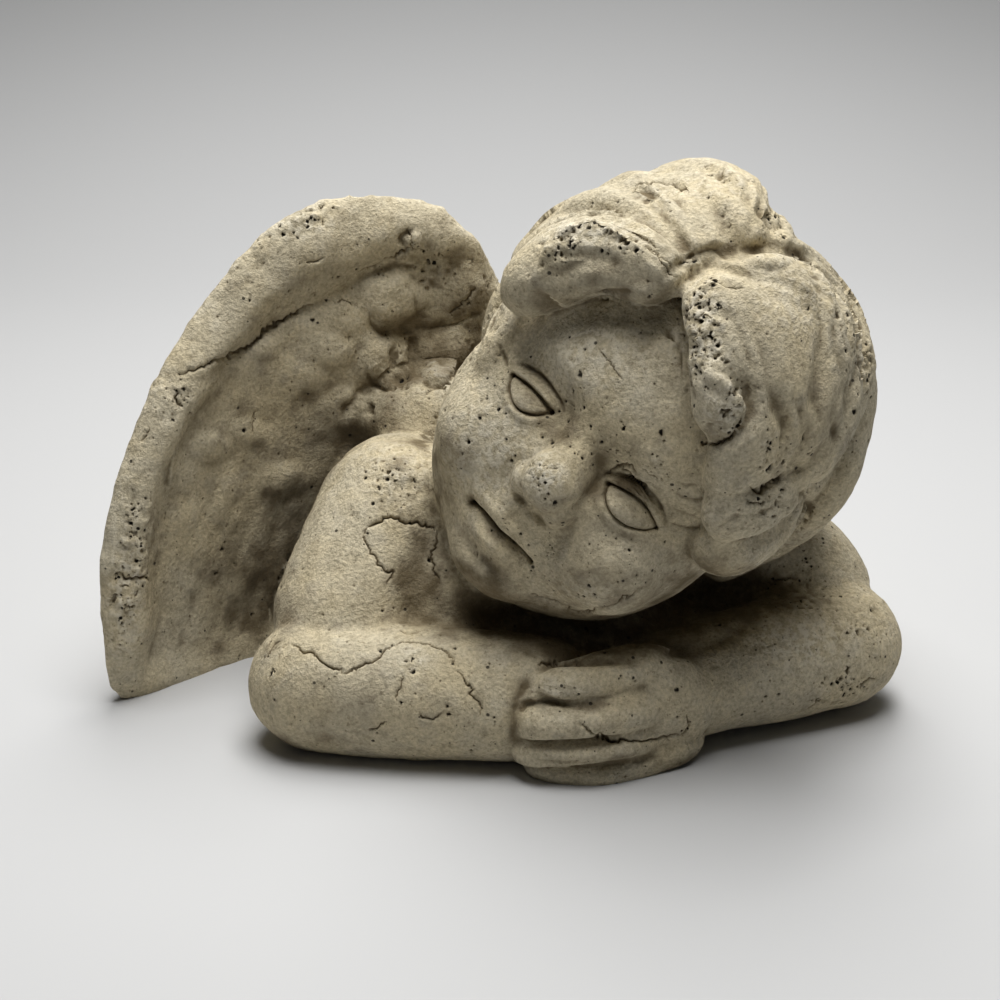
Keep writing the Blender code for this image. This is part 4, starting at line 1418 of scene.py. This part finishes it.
@dataclass
class Weather:
    """What casting and years outside did: uneven ground, rough places, cracks and holes, with staining and
    wearing painted together with shade and light.
    """

    skin: Skin
    # of each point: its place in the picture, whether it is seen, how rough, and how holes wobble
    flat: Array = field(init=False)
    seen: Array = field(init=False)
    rough: Array = field(init=False)
    wobble: Array = field(init=False)
    viewpoint: Viewpoint = field(default_factory=Viewpoint)
    seed: int = 11
    easing: int = 130
    # how near to a marked crack and hole, and how rough, the mesh is made finer
    near_crack: float = 6.0
    near_hole: float = 4.0
    fine_where_rough: float = 0.5
    # how far back the knobs start and the grooves end, and the lines of a hollow between knobs:
    # width and depth against the table's, and dirt with painted shade
    knobs_behind: float = 20.0
    grooves_before: float = 75.0
    crevice_lines: tuple = ((2.8, 1.2, 0.72), (7.5, 0.3, 0.4))
    # what the camera sees: size of a cell of the picture, depth behind its first point, least facing
    cell: float = 4.0
    behind: float = 9.0
    least_facing: float = 0.05
    # uneven ground: size of the lumps, seed, height, and height that the open wing adds
    ground: tuple = ((15, 1, 0.4, 0.8), (6.5, 2, 0.24, 0.4), (2.8, 3, 0.12, 0.0))
    # ground of rough places: size of the lumps, seed and height
    rough_ground: tuple = ((4.2, 4, 0.85), (2.0, 5, 0.95))
    # cracks: width against the table's, and the lines of one, the cut and the painted shade along it, both
    # with grime
    crack_width: float = 1.45
    crack_lines: tuple = ((1.0, 1.0, 0.95), (3.2, 0.25, 0.3))
    # pits: their noise; how high it must stand, and what clusters and rough places take off that
    pits: tuple = ((1.9, 61, 0.72), (0.9, 62, 0.42))
    pit_bar: float = 0.8
    pit_clusters: float = 0.16
    pit_roughness: float = 0.46
    pit_edge: float = 0.22
    # air holes: radius against the table's, depth against the radius, and how ragged they are
    hole_share: float = 0.52
    hole_depth: float = 1.1
    hole_wobble: float = 0.4
    # chance holes: how many, least radius, spread and greatest; where clusters of them lie
    scattered_holes: int = 2100
    least_hole: float = 0.26
    hole_spread: float = 0.16
    greatest_hole: float = 0.8
    clusters: tuple = ((18, 21, 1.0), (7, 22, 0.5))
    # shelter, for the painted shade: fineness of the stand-in, seed and number of rays, their start, lean
    # and reach
    shelter_voxel: float = 3.2
    shelter_seed: int = 3
    shelter_rays: int = 18
    shelter_start: float = 0.6
    shelter_lean: float = 1.05
    shelter_reach: float = 70.0
    # smoothing rounds that tell fine and broad hollows, and how deep each is when full of grime
    fine_rounds: int = 6
    broad_rounds: int = 60
    fine_depth: float = 0.3
    # smoothing rounds that tell fine and broad hollows, and how deep each is when fully darkened with
    # grime and painted shade
    broad_depth: float = 1.4
    most_grime_and_shade: float = 0.82

    def __post_init__(self) -> None:
        """Look where the skin's points stand in the picture, and how rough they are there."""
        self.flat, self.seen = self.look()
        self.rough = self.roughness()

    def look(self) -> tuple[Array, Array]:
        """Find what the camera sees.

        Returns:
            Places of all points in the picture, and whether each is seen.
        """
        flat, depth = self.viewpoint.project(self.skin.coords)
        cells = np.clip((flat / self.cell).astype(int), 0, int(self.viewpoint.picture / self.cell) - 1)
        key = cells[:, 0] * int(self.viewpoint.picture) + cells[:, 1]
        first = np.full(int(self.viewpoint.picture) ** 2, np.inf)
        np.minimum.at(first, key, depth)
        facing = self.skin.normals @ self.viewpoint.toward()
        return flat, (depth < first[key] + self.behind) & (facing > self.least_facing)

    def pointed_at(self, across: float, down: float) -> int:
        """Number of the seen point nearest a place in the picture."""
        visible = np.flatnonzero(self.seen)
        return int(visible[np.argmin(np.abs(self.flat[visible] - (across, down)).sum(axis=1))])

    def ease(self) -> None:
        """Smooth the skin where one form runs softly into the next."""
        share = np.zeros(len(self.flat))
        for across, down, reach in EASED_PLACES:
            centre = self.skin.coords[self.pointed_at(across, down)]
            gap = np.linalg.norm(self.skin.coords - centre, axis=1)
            share = np.maximum(share, np.exp(-(gap / reach) ** 4))
        self.skin.coords += share[:, None] * (self.skin.softened(self.easing) - self.skin.coords)
        self.skin.settle()

    def patch(self, across: float, down: float, wide: float, tall: float,
              turn: float = 0.0) -> Array:
        """Lay a soft oval patch on the picture.

        Args:
            across, down: its middle.
            wide, tall: its half sizes.
            turn: degrees that its right end is turned up.

        Returns:
            The patch's share at each point, 1 in its middle.
        """
        angle = math.radians(turn)
        x = self.flat[:, 0] - across
        y = down - self.flat[:, 1]
        u = (x * math.cos(angle) + y * math.sin(angle)) / wide
        v = (-x * math.sin(angle) + y * math.cos(angle)) / tall
        return np.exp(-(u ** 2 + v ** 2) ** 1.5)

    def marked(self, places: tuple[Point, ...]) -> Array:
        """Read a table of patches.

        Args:
            places: the patches, each with its strength last.

        Returns:
            The greatest share that any of them gives to each point.
        """
        most = np.zeros(len(self.flat))
        for *place, strength in places:
            most = np.maximum(most, strength * self.patch(*place))
        return most

    def roughness(self) -> Array:
        """Tell how rough the stone is: by the marked places in front, by chance elsewhere.

        Returns:
            Roughness of each point, from 0 to 1.
        """
        rough = self.marked(ROUGH_PATCHES)
        elsewhere = np.clip(1.6 * noise(self.skin.coords, 26, 31) - 0.55, 0, 0.8)
        return np.where(self.seen, rough, elsewhere)

    def small_work(self) -> Array:
        """Find the marked cracks, air holes and rough places that the camera sees.

        Returns:
            Whether each point lies near one.
        """
        near = np.zeros(len(self.flat), bool)
        for points, _, _ in CRACKS:
            path = curve_at(points, np.linspace(0, 1, 12))
            low = path.min(axis=0) - 2 * self.near_crack
            high = path.max(axis=0) + 2 * self.near_crack
            around = np.flatnonzero(np.all((self.flat > low) & (self.flat < high), axis=1))
            near[around] |= nearest(self.flat[around], path)[0] < self.near_crack
        for across, down, radius in AIR_HOLES:
            gap = np.abs(self.flat - (across, down)).sum(axis=1)
            near |= gap < self.near_hole + self.near_hole * radius
        near |= self.rough > self.fine_where_rough
        return near & self.seen

    def uneven(self) -> None:
        """Press the casting's uneven ground into the skin."""
        across, back, _ = self.skin.coords.T
        on_wing = held((back - 10) / 20) * held(-across / 20)
        lift = np.zeros(len(self.rough))
        for size, seed, height, more in self.ground:
            lift += (height + more * on_wing) * noise(self.skin.coords, size, seed)
        lift += self.rough * layered(self.skin.coords, self.rough_ground)
        self.skin.coords += lift[:, None] * self.skin.normals

    def picture(self, who: Array) -> View:
        """The given points as the camera sees them; what is raised stands straight off the stone."""
        return View(self.skin, self.flat, self.skin.normals, who.astype(float))

    def knobs(self) -> None:
        """Raise the knobbly feathers near the head and cut the hollows between them, darkened with grimy
        stain and painted shade.
        """
        rng = np.random.default_rng(self.seed + 2)
        view = self.picture(self.seen & (self.skin.coords[:, 1] > self.knobs_behind))
        for across, down, wide, tall, height in KNOBS:
            view.swell((across, down), (wide, tall), height, firm=1.9)
        for points, width, depth in CREVICES:
            path = ragged(points, 9, 1.0, rng)
            for wider, deeper, dirt_and_shade in self.crevice_lines:
                view.line(path, wider * width, deeper * depth, dirt_and_shade)
        view.press()

    def grooves(self) -> None:
        """Cut the soft grooves that wave between the locks and round the hand, darkened with grimy stain
        and painted shade.
        """
        view = self.picture(self.seen & (self.skin.coords[:, 1] < self.grooves_before))
        for points, width, depth, dirt_and_shade in GROOVES:
            view.line(points, width, depth, dirt_and_shade=dirt_and_shade)
        view.press()

    def crack_all(self) -> None:
        """Cut the marked cracks in the stone that the camera sees, darkened with grimy stain and painted
        shade along them.
        """
        rng = np.random.default_rng(self.seed)
        view = self.picture(self.seen)
        for points, width, depth in CRACKS:
            path = ragged(points, 2.2, 0.75, rng)
            for wider, deeper, dirt_and_shade in self.crack_lines:
                view.line(path, width * wider * self.crack_width, deeper * depth, dirt_and_shade, bent=True)
        view.press()

    def pit(self) -> None:
        """Sink small ragged pits: a few everywhere in clusters, many where it is rough."""
        lumps = layered(self.skin.coords, self.pits)
        clustered = held(noise(self.skin.coords, 14, 63) + 0.4)
        bar = self.pit_bar - self.pit_clusters * clustered - self.pit_roughness * self.rough
        sink = held((lumps - bar) / self.pit_edge)
        self.skin.coords -= (sink * (0.4 + 0.55 * self.rough))[:, None] * self.skin.normals
        # darken the pits: painted shade inside them, with grime
        self.skin.stain(Stain.HOLE, np.arange(len(sink)), held(sink * (0.75 - 0.15 * self.rough)))

    def dent(self, tree: KDTree, number: int, radius: float) -> None:
        """Sink one air hole.

        Args:
            tree: the skin's points, ready for looking up.
            number: the point in the hole's middle.
            radius: the hole's radius.
        """
        found = tree.find_range(self.skin.coords[number], 1.4 * radius)
        if not found:
            return
        who = np.array([index for _, index, _ in found])
        gap = np.array([distance for _, _, distance in found]) / radius
        gap = gap * (1 + self.hole_wobble * self.wobble[who])
        sink = np.sqrt(held(1 - gap ** 2))
        self.skin.coords[who] -= (self.hole_depth * radius * sink)[:, None] * self.skin.normals[number]
        # darken the hole: painted shade inside it, with grime
        self.skin.stain(Stain.HOLE, who, held(0.55 + 0.6 * radius) * held(1.5 * sink))

    def pierce(self) -> None:
        """Sink the marked air holes, and many small ones by chance."""
        self.wobble = noise(self.skin.coords, 0.9, 51)
        tree = point_tree(self.skin.coords)
        rng = np.random.default_rng(self.seed + 1)
        for across, down, radius in AIR_HOLES:
            centre = self.pointed_at(across, down)
            radius *= self.hole_share
            self.dent(tree, centre, radius)
            around = [index for _, index, _ in tree.find_range(self.skin.coords[centre], 1.3 * radius)]
            for number in rng.choice(around or [centre], 2):
                self.dent(tree, int(number), radius * rng.uniform(0.4, 0.7))
        clustered = held(layered(self.skin.coords, self.clusters))
        chance = 0.16 + 0.5 * clustered ** 2 + 3.5 * self.rough ** 1.5
        chance /= chance.sum()
        calm = self.marked(CALM_PLACES) * self.seen
        for number in rng.choice(len(chance), self.scattered_holes, p=chance):
            radius = min(self.least_hole + self.hole_spread * rng.exponential(), self.greatest_hole)
            if calm[number] < 0.5:
                self.dent(tree, int(number), radius)

    def shelter(self) -> Array:
        """Tell how far the statue itself shelters each point, for the painted shade.

        Returns:
            Share of the open air round each point that the statue hides.
        """
        proxy = duplicate(self.skin.body)
        skin_over(proxy, self.shelter_voxel)
        coords = read(proxy.data)
        normals = read(proxy.data, "normal")
        tree = BVHTree.FromPolygons([tuple(p) for p in coords],
                                    [tuple(p.vertices) for p in proxy.data.polygons])
        discard(proxy)
        rng = np.random.default_rng(self.shelter_seed)
        rays = directions(rng.normal(size=(self.shelter_rays, 3)))
        hidden = np.zeros(len(coords))
        for number, (place, normal) in enumerate(zip(coords, normals)):
            start = Vector(place + self.shelter_start * normal)
            ways = rays + self.shelter_lean * normal
            hits = [tree.ray_cast(start, Vector(way), self.shelter_reach)[0] is not None for way in ways]
            hidden[number] = sum(hits) / len(hits)
        near = point_tree(coords)
        picks = np.array([[index for _, index, _ in near.find_n(place, 3)] for place in self.skin.coords])
        return hidden[picks].mean(axis=1)

    def stain_shade_and_light(self) -> None:
        """Darken hollows, places the statue itself hides and what faces down, with grimy stain and painted
        shade, and lighten what stands out and faces up, with wearing and painted light.
        """
        upward = self.skin.normals[:, 2]
        fine = self.skin.hollowness(self.fine_rounds)
        broad = self.skin.hollowness(self.broad_rounds)
        occlusion_shade = self.shelter()
        # grime and painted shade: grime with painted shade in hollows, painted shade under shelter and on
        # what faces down, and the marked stains, some of them painted shade
        grime = held(fine / self.fine_depth) * (0.6 + 0.3 * self.rough)
        grime += held(broad / self.broad_depth) * 0.65
        grime += 1.5 * held(occlusion_shade - 0.3) + 0.3 * held(0.45 - upward)
        uneven = 0.75 + 0.5 * noise(self.skin.coords, 5.5, 71)
        grime += np.where(self.seen, self.marked(STAINS_AND_SHADE) * uneven, 0.0)
        drawn = self.skin.stains_shade_and_light[Stain.GRIME_AND_SHADE]
        grime = np.minimum(grime, self.most_grime_and_shade)
        self.skin.stains_shade_and_light[Stain.GRIME_AND_SHADE] = held(np.maximum(drawn, grime))
        # wear and painted light: wear with painted light on edges that face up, the marked places, some of
        # them painted light, and paler ridges of rough stone
        edge = held(-broad / 1.5) * held(0.4 + 0.6 * upward)
        elsewhere = 0.4 * held(noise(self.skin.coords, 22, 41))
        worn_and_lit = np.where(self.seen, self.marked(WORN_AND_LIT_PLACES), elsewhere)
        ridges = held(-fine / 0.22) * self.rough
        everyone = np.arange(len(grime))
        self.skin.stain(Stain.WEAR_AND_LIGHT, everyone, held(0.5 * edge + worn_and_lit + 0.8 * ridges))

    def work_on(self) -> None:
        """Age the casting, and paint its shade and light."""
        self.ease()
        self.knobs()
        self.grooves()
        self.skin.settle()
        self.uneven()
        self.skin.settle()
        self.pit()
        self.crack_all()
        self.skin.settle()
        self.pierce()
        self.skin.settle()
        self.stain_shade_and_light()


# Finish

@dataclass(frozen=True)
class Pattern:
    """A noise of the stone, by the size of its lumps in metres."""

    size: float
    detail: float = 3.0
    roughness: float = 0.55


class Bench:
    """Puts shader nodes together."""

    def __init__(self, name: str) -> None:
        """Start an empty material."""
        self.material = bpy.data.materials.new(name)
        self.material.use_nodes = True
        self.tree = self.material.node_tree
        self.tree.nodes.clear()

    def node(self, kind: str, inputs: dict | None = None, **settings: object) -> bpy.types.Node:
        """Add a node.

        Args:
            kind: its type, without the leading "ShaderNode".
            inputs: values or sockets for its inputs, by name or number.
            settings: its properties.

        Returns:
            The node.
        """
        node = self.tree.nodes.new("ShaderNode" + kind)
        for name, value in settings.items():
            setattr(node, name, value)
        for name, value in (inputs or {}).items():
            socket = node.inputs[name]
            if isinstance(value, Socket):
                self.tree.links.new(value, socket)
            else:
                socket.default_value = value
        return node

    def math(self, operation: str, *values: object, clamp: bool = False) -> Socket:
        """Reckon with values or sockets, by the name of a Math node's operation."""
        inputs = dict(enumerate(values))
        return self.node("Math", inputs, operation=operation, use_clamp=clamp).outputs[0]

    def fit(self, value: Socket, low: float, high: float,
            to_low: float = 0.0, to_high: float = 1.0) -> Socket:
        """A value's range stretched to another, eased into both ends and never past them."""
        inputs = {"Value": value, "From Min": low, "From Max": high, "To Min": to_low, "To Max": to_high}
        return self.node("MapRange", inputs, interpolation_type="SMOOTHSTEP").outputs[0]

    def mix(self, share: object, first: object, second: object, blend: str = "MIX") -> Socket:
        """Two colours mixed by a share."""
        inputs = {0: share, 6: first, 7: second}
        return self.node("Mix", inputs, data_type="RGBA", blend_type=blend).outputs[2]

    def noise(self, place: Socket, pattern: Pattern) -> Socket:
        """A pattern's values at the given coordinates."""
        inputs = {"Vector": place, "Scale": 1.0 / pattern.size, "Detail": pattern.detail,
                  "Roughness": pattern.roughness}
        return self.node("TexNoise", inputs).outputs[0]

    def finished(self, surface: dict) -> bpy.types.Material:
        """The material, closed with a shader that has the given inputs."""
        shader = self.node("BsdfPrincipled", surface)
        self.node("OutputMaterial", {"Surface": shader.outputs[0]})
        return self.material


@dataclass(frozen=True)
class ConcreteFinish:
    """Weathered cast concrete: warm beige-grey, stained brown with painted shade in hollows, paler with
    wearing and painted light, full of air holes darkened with painted shade.
    """

    warm: Point = (0.64, 0.55, 0.365, 1.0)
    grey: Point = (0.58, 0.515, 0.37, 1.0)
    pale: Point = (0.76, 0.705, 0.57, 1.0)
    brown: Point = (0.135, 0.100, 0.052, 1.0)
    soot_and_hole_shade: Point = (0.018, 0.015, 0.011, 1.0)
    roughness: float = 0.88
    roughness_spread: float = 0.06
    specular: float = 0.25
    clouds: Pattern = Pattern(0.030, 4.0)
    blotches: Pattern = Pattern(0.008, 5.0, 0.6)
    spots: Pattern = Pattern(0.0035, 4.0, 0.65)
    speckle: Pattern = Pattern(0.0022, 3.0, 0.6)
    flecks: Pattern = Pattern(0.0016, 2.0)
    grain: Pattern = Pattern(0.0011, 6.0, 0.7)
    # ranges of patterns and stains, and what they become as shares of a colour
    clouds_grey: Point = (0.35, 0.65)
    blotches_pale: Point = (0.45, 0.75, 0.0, 0.4)
    blotches_brown: Point = (0.5, 0.25, 0.0, 0.36)
    spots_brown: Point = (0.5, 0.32, 0.0, 0.26)
    flecks_brown: Point = (0.64, 0.72, 0.0, 0.45)
    grain_bright: Point = (0.3, 0.7, 0.74, 1.16)
    speckle_worn_and_lit: Point = (0.42, 0.62)
    blotches_patchy: Point = (0.3, 0.7, -0.22, 0.2)
    grime_and_shade_brown: Point = (0.1, 0.95, 0.0, 0.92)
    grime_and_shade_black: Point = (0.86, 1.0)
    holes_black: Point = (0.35, 0.95)
    # small holes of the finish: cell in metres, share of cells with a hole, greatest radius in cells
    small_holes: Point = (0.0044, 0.36, 0.155)
    tiny_holes: Point = (0.0023, 0.22, 0.15)
    # how soft a hole's edge is, and how dark a hole is painted, standing for the shade inside it
    hole_edge: float = 0.06
    hole_dark: float = 0.85
    # relief of the finish: grain, speckle and blotches, what a hole takes away, strength, metres
    grain_height: float = 0.55
    speckle_height: float = 0.75
    blotch_height: float = 0.9
    hole_relief: float = 1.3
    relief_strength: float = 0.9
    relief_height: float = 0.0009

    def air_holes(self, bench: Bench, place: Socket, size: float, share: float,
                  radius: float) -> Socket:
        """Small round holes, one in some of the cells of a grid.

        Args:
            bench: where the nodes go.
            place: coordinates.
            size: size of a cell, in metres.
            share: about how many cells hold a hole.
            radius: radius of the largest hole, as a share of a cell.

        Returns:
            1 inside a hole and 0 outside.
        """
        cells = bench.node("TexVoronoi", {"Vector": place, "Scale": 1.0 / size, "Randomness": 1.0})
        chance = bench.node("SeparateColor", {"Color": cells.outputs["Color"]}).outputs[0]
        reach = bench.fit(chance, 1.0 - share, 1.0, 0.0, radius)
        inside = bench.math("SUBTRACT", reach, cells.outputs["Distance"])
        return bench.fit(inside, 0.0, self.hole_edge)

    def build(self) -> bpy.types.Material:
        """Put the material together.

        Returns:
            The material.
        """
        bench = Bench("weathered_concrete")
        place = bench.node("TexCoord").outputs["Object"]
        stains_shade_and_light = {s: bench.node("Attribute", attribute_name=s.value).outputs["Fac"] for s in Stain}
        clouds = bench.noise(place, self.clouds)
        blotches = bench.noise(place, self.blotches)
        spots = bench.noise(place, self.spots)
        speckle = bench.noise(place, self.speckle)
        flecks = bench.noise(place, self.flecks)
        grain = bench.noise(place, self.grain)
        # the bare stone
        colour = bench.mix(bench.fit(clouds, *self.clouds_grey), self.warm, self.grey)
        colour = bench.mix(bench.fit(blotches, *self.blotches_pale), colour, self.pale)
        colour = bench.mix(bench.fit(blotches, *self.blotches_brown), colour, self.brown)
        colour = bench.mix(bench.fit(spots, *self.spots_brown), colour, self.brown)
        bright = bench.fit(grain, *self.grain_bright)
        tone = bench.node("CombineColor", {0: bright, 1: bright, 2: bright}).outputs[0]
        colour = bench.mix(1.0, colour, tone, "MULTIPLY")
        # wear with painted light, and grime with painted shade
        worn_and_lit = bench.fit(speckle, *self.speckle_worn_and_lit)
        worn_and_lit = bench.math("MULTIPLY", stains_shade_and_light[Stain.WEAR_AND_LIGHT], worn_and_lit, clamp=True)
        colour = bench.mix(worn_and_lit, colour, self.pale)
        patchy = bench.fit(blotches, *self.blotches_patchy)
        grime = bench.math("ADD", stains_shade_and_light[Stain.GRIME_AND_SHADE], patchy, clamp=True)
        colour = bench.mix(bench.fit(grime, *self.grime_and_shade_brown), colour, self.brown)
        colour = bench.mix(bench.fit(flecks, *self.flecks_brown), colour, self.brown)
        # holes, painted near black with the shade inside them, and the darkest grime and painted shade of
        # the cuts
        small = self.air_holes(bench, place, *self.small_holes)
        tiny = self.air_holes(bench, place, *self.tiny_holes)
        drilled = bench.math("MAXIMUM", small, tiny)
        deep = bench.fit(stains_shade_and_light[Stain.HOLE], *self.holes_black)
        black = bench.math("MAXIMUM", bench.math("MULTIPLY", drilled, self.hole_dark), deep)
        black = bench.math("MAXIMUM", black, bench.fit(stains_shade_and_light[Stain.GRIME_AND_SHADE], *self.grime_and_shade_black))
        colour = bench.mix(black, colour, self.soot_and_hole_shade)
        # relief
        relief = bench.math("MULTIPLY", grain, self.grain_height)
        for source, height in ((speckle, self.speckle_height), (blotches, self.blotch_height)):
            relief = bench.math("ADD", relief, bench.math("MULTIPLY", source, height))
        relief = bench.math("SUBTRACT", relief, bench.math("MULTIPLY", drilled, self.hole_relief))
        bump = bench.node("Bump", {"Height": relief, "Strength": self.relief_strength,
                                   "Distance": self.relief_height})
        least = self.roughness - self.roughness_spread
        rough = bench.fit(blotches, 0.3, 0.7, least, self.roughness + self.roughness_spread)
        return bench.finished({"Base Color": colour, "Roughness": rough, "Normal": bump.outputs[0],
                               "Specular IOR Level": self.specular})


# The casting

@dataclass
class Casting:
    """The whole statue: one skin over head, hair, body, arms, hand and wings."""

    detail: Detail
    mass_voxel: float = 2.4
    mass_smoothing: float = 10.0
    softness: float = 5.6
    triangle_budget: int = 196000
    smooth_angle: float = 55.0
    pose: HeadPose = field(default_factory=HeadPose)

    def model(self) -> Body:
        """Lay the masses, then locks, nose and hand, and blend them into one skin.

        Returns:
            The blended body, finer where small work comes.
        """
        head = Head(self.pose)
        arms = FoldedArms()
        masses = Clay("masses")
        for form in (Torso(), arms, head, OpenWing(), FoldedWing()):
            form.lay(masses)
        whole = Clay("cherub_casting")
        whole.bodies.append(masses.blend(self.mass_voxel, self.mass_smoothing))
        for form in (Hair(self.pose), head, arms):
            form.add(whole)
        voxel = self.detail.value
        body = whole.blend(voxel, self.softness / voxel ** 2)
        skin = Skin(body)
        refine(body, head.small_work(skin) | Weather(skin).small_work())
        log.info("blended skin: %d points", len(body.data.vertices))
        return body

    def carve(self, skin: Skin) -> None:
        """Cut face, hair, fingers and wings, then age the stone and paint its shade and light."""
        for form in (Head(self.pose), Hair(self.pose), FoldedArms(), OpenWing(), FoldedWing()):
            form.carve(skin)
        skin.settle()
        Weather(skin).work_on()
        skin.settle()

    def keep_stains_shade_and_light(self, skin: Skin) -> None:
        """Write the stain, shade and light values into the mesh, for the finish to read."""
        for stain, values in skin.stains_shade_and_light.items():
            layer = skin.body.data.attributes.new(stain.value, "FLOAT", "POINT")
            layer.data.foreach_set("value", values.astype(np.float32))

    def stand_flat(self, body: Body) -> None:
        """Cut the casting at the ground and close its underside."""
        with editing(body):
            bpy.ops.mesh.bisect(plane_co=(0, 0, 0), plane_no=(0, 0, 1), use_fill=True, clear_inner=True)

    def thin(self, body: Body) -> None:
        """Keep to the triangle budget, merging first where the stone is flattest.

        Args:
            body: the casting.
        """
        body.data.calc_loop_triangles()
        count = len(body.data.loop_triangles)
        if count > self.triangle_budget:
            work(body, "DECIMATE", ratio=self.triangle_budget / count, use_collapse_triangulate=True)
        log.info("thinned from %d to %d triangles", count, len(body.data.polygons))

    def without_crumbs(self, body: Body) -> Body:
        """Remove the crumbs that cutting and thinning break off.

        Args:
            body: the casting with its crumbs.

        Returns:
            The largest body, under the casting's name.
        """
        name = body.name
        with editing(body):
            bpy.ops.mesh.separate(type="LOOSE")
        bodies = sorted(bpy.context.selected_objects, key=lambda found: len(found.data.vertices))
        for crumb in bodies[:-1]:
            discard(crumb)
        bodies[-1].name = name
        log.info("dropped %d crumbs", len(bodies) - 1)
        return bodies[-1]

    def place(self, body: Body) -> None:
        """Bring the casting into the CAD node's box, in metres.

        Args:
            body: the casting.
        """
        coords = read(body.data)
        coords[:, 2] = np.maximum(coords[:, 2], 0.0)
        low, high = (np.array(corner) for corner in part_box(NODE))
        span = coords.max(axis=0) - coords.min(axis=0)
        coords = low + (coords - coords.min(axis=0)) * (high - low) / span
        write(body.data, coords)

    def build(self) -> Body:
        """Returns:
            The finished piece.
        """
        body = self.model()
        skin = Skin(body)
        self.carve(skin)
        self.keep_stains_shade_and_light(skin)
        self.stand_flat(body)
        self.thin(body)
        body = self.without_crumbs(body)
        self.place(body)
        take(body)
        bpy.ops.object.shade_smooth_by_angle(angle=math.radians(self.smooth_angle))
        body.data.materials.clear()
        body.data.materials.append(ConcreteFinish().build())
        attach(body, "root")
        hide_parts(NODE)
        return body


# The studio

@dataclass(frozen=True)
class TableFinish:
    """A pale matt table top, with painted shade that darkens it up the backdrop."""

    table_tone: Point = (0.572, 0.580, 0.590, 1.0)
    wall_shade_tone: Point = (0.33, 0.335, 0.34, 1.0)
    shade_height: float = 0.25
    roughness: float = 0.65
    specular: float = 0.2

    def build(self) -> bpy.types.Material:
        """Put the material together.

        Returns:
            The material.
        """
        bench = Bench("table_top")
        place = bench.node("TexCoord").outputs["Object"]
        height = bench.node("SeparateXYZ", {0: place}).outputs[2]
        # painted shade: the tone darkens with height up the backdrop
        tone = bench.mix(bench.fit(height, 0.0, self.shade_height), self.table_tone, self.wall_shade_tone)
        return bench.finished({"Base Color": tone, "Roughness": self.roughness,
                               "Specular IOR Level": self.specular})


@dataclass
class Studio:
    """A pale table that curves up into its backdrop, soft light from above, and the camera."""

    viewpoint: Viewpoint = field(default_factory=Viewpoint)
    half_width: float = 2.2
    front: float = -1.6
    bend_start: float = 0.5
    bend_radius: float = 0.8
    bend_steps: int = 24
    wall_height: float = 1.8
    lamp_size: float = 0.6
    lamp_colour: Point = (1.0, 0.985, 0.96)
    # each lamp: name, place, point that it looks at, and power in watts
    lamps: tuple = (("overhead", (0.03, -0.05, 1.0), (0, 0, 0.05), 10.4),
                    ("fill", (0.02, 0.5, 0.95), (0, 0, 0.08), 6.5))
    room_colour: Point = (0.96, 0.98, 1.0, 1.0)
    room_strength: float = 0.025
    nearest: float = 0.01

    def row(self, point: Array) -> Vector:
        """A point of the design frame in metres, in the row frame."""
        return Vector((np.asarray(point) - np.array(DESIGN_MIDDLE)) * SHARE)

    def table(self) -> Body:
        """Lay the table: a strip that runs back, round a bend and up.

        Returns:
            The table.
        """
        profile = [(self.front, 0.0), (self.bend_start, 0.0)]
        for angle in np.linspace(0, 0.5 * math.pi, self.bend_steps + 1)[1:]:
            profile.append((self.bend_start + self.bend_radius * math.sin(angle),
                            self.bend_radius * (1 - math.cos(angle))))
        profile.append((profile[-1][0], self.wall_height))
        deselect()
        bpy.ops.mesh.primitive_plane_add(size=1.0)
        table = bpy.context.object
        table.name = "table"
        with editing(table):
            bpy.ops.mesh.subdivide(number_cuts=len(profile) - 2)
        coords = read(table.data)
        step = np.rint((coords[:, 1] + 0.5) * (len(profile) - 1)).astype(int)
        line = np.array(profile)[step]
        write(table.data, np.column_stack([2 * self.half_width * coords[:, 0], line]))
        bpy.ops.object.shade_smooth()
        table.data.materials.append(TableFinish().build())
        return table

    def lamp(self, name: str, place: Point, aim: Point, power: float) -> None:
        """Hang a soft square lamp.

        Args:
            name: its name.
            place: where it hangs.
            aim: the point that it looks at.
            power: in watts.
        """
        deselect()
        bpy.ops.object.light_add(type="AREA", location=place)
        lamp = bpy.context.object
        lamp.name = name
        lamp.data.size = self.lamp_size
        lamp.data.energy = power
        lamp.data.color = self.lamp_colour
        lamp.rotation_euler = (Vector(aim) - Vector(place)).to_track_quat("-Z", "Y").to_euler()

    def light(self) -> None:
        """Hang the lamps and set the pale room round them."""
        for lamp in self.lamps:
            self.lamp(*lamp)
        world = bpy.data.worlds.new("room")
        world.use_nodes = True
        room = world.node_tree.nodes["Background"]
        room.inputs[0].default_value = self.room_colour
        room.inputs[1].default_value = self.room_strength
        bpy.context.scene.world = world
        bpy.context.scene.view_settings.view_transform = "Standard"

    def camera(self) -> None:
        """Stand the camera where the picture was taken."""
        deselect()
        bpy.ops.object.camera_add(location=self.row(self.viewpoint.eye()))
        camera = bpy.context.object
        camera.name = "picture"
        camera.rotation_euler = Vector(-self.viewpoint.toward()).to_track_quat("-Z", "Y").to_euler()
        camera.data.lens = self.viewpoint.lens
        camera.data.sensor_width = self.viewpoint.sensor
        camera.data.clip_start = self.nearest
        bpy.context.scene.camera = camera


def main() -> None:
    """Build the statue and its studio, and report them."""
    logging.basicConfig(level=logging.INFO, format="%(name)s: %(message)s")
    casting = Casting(Detail.FULL)
    body = casting.build()
    log.info("%s: %d triangles", body.name, len(body.data.polygons))
    studio = Studio()
    studio.table()
    studio.light()
    studio.camera()
    log.info("studio is ready")


if __name__ == "__main__":
    main()
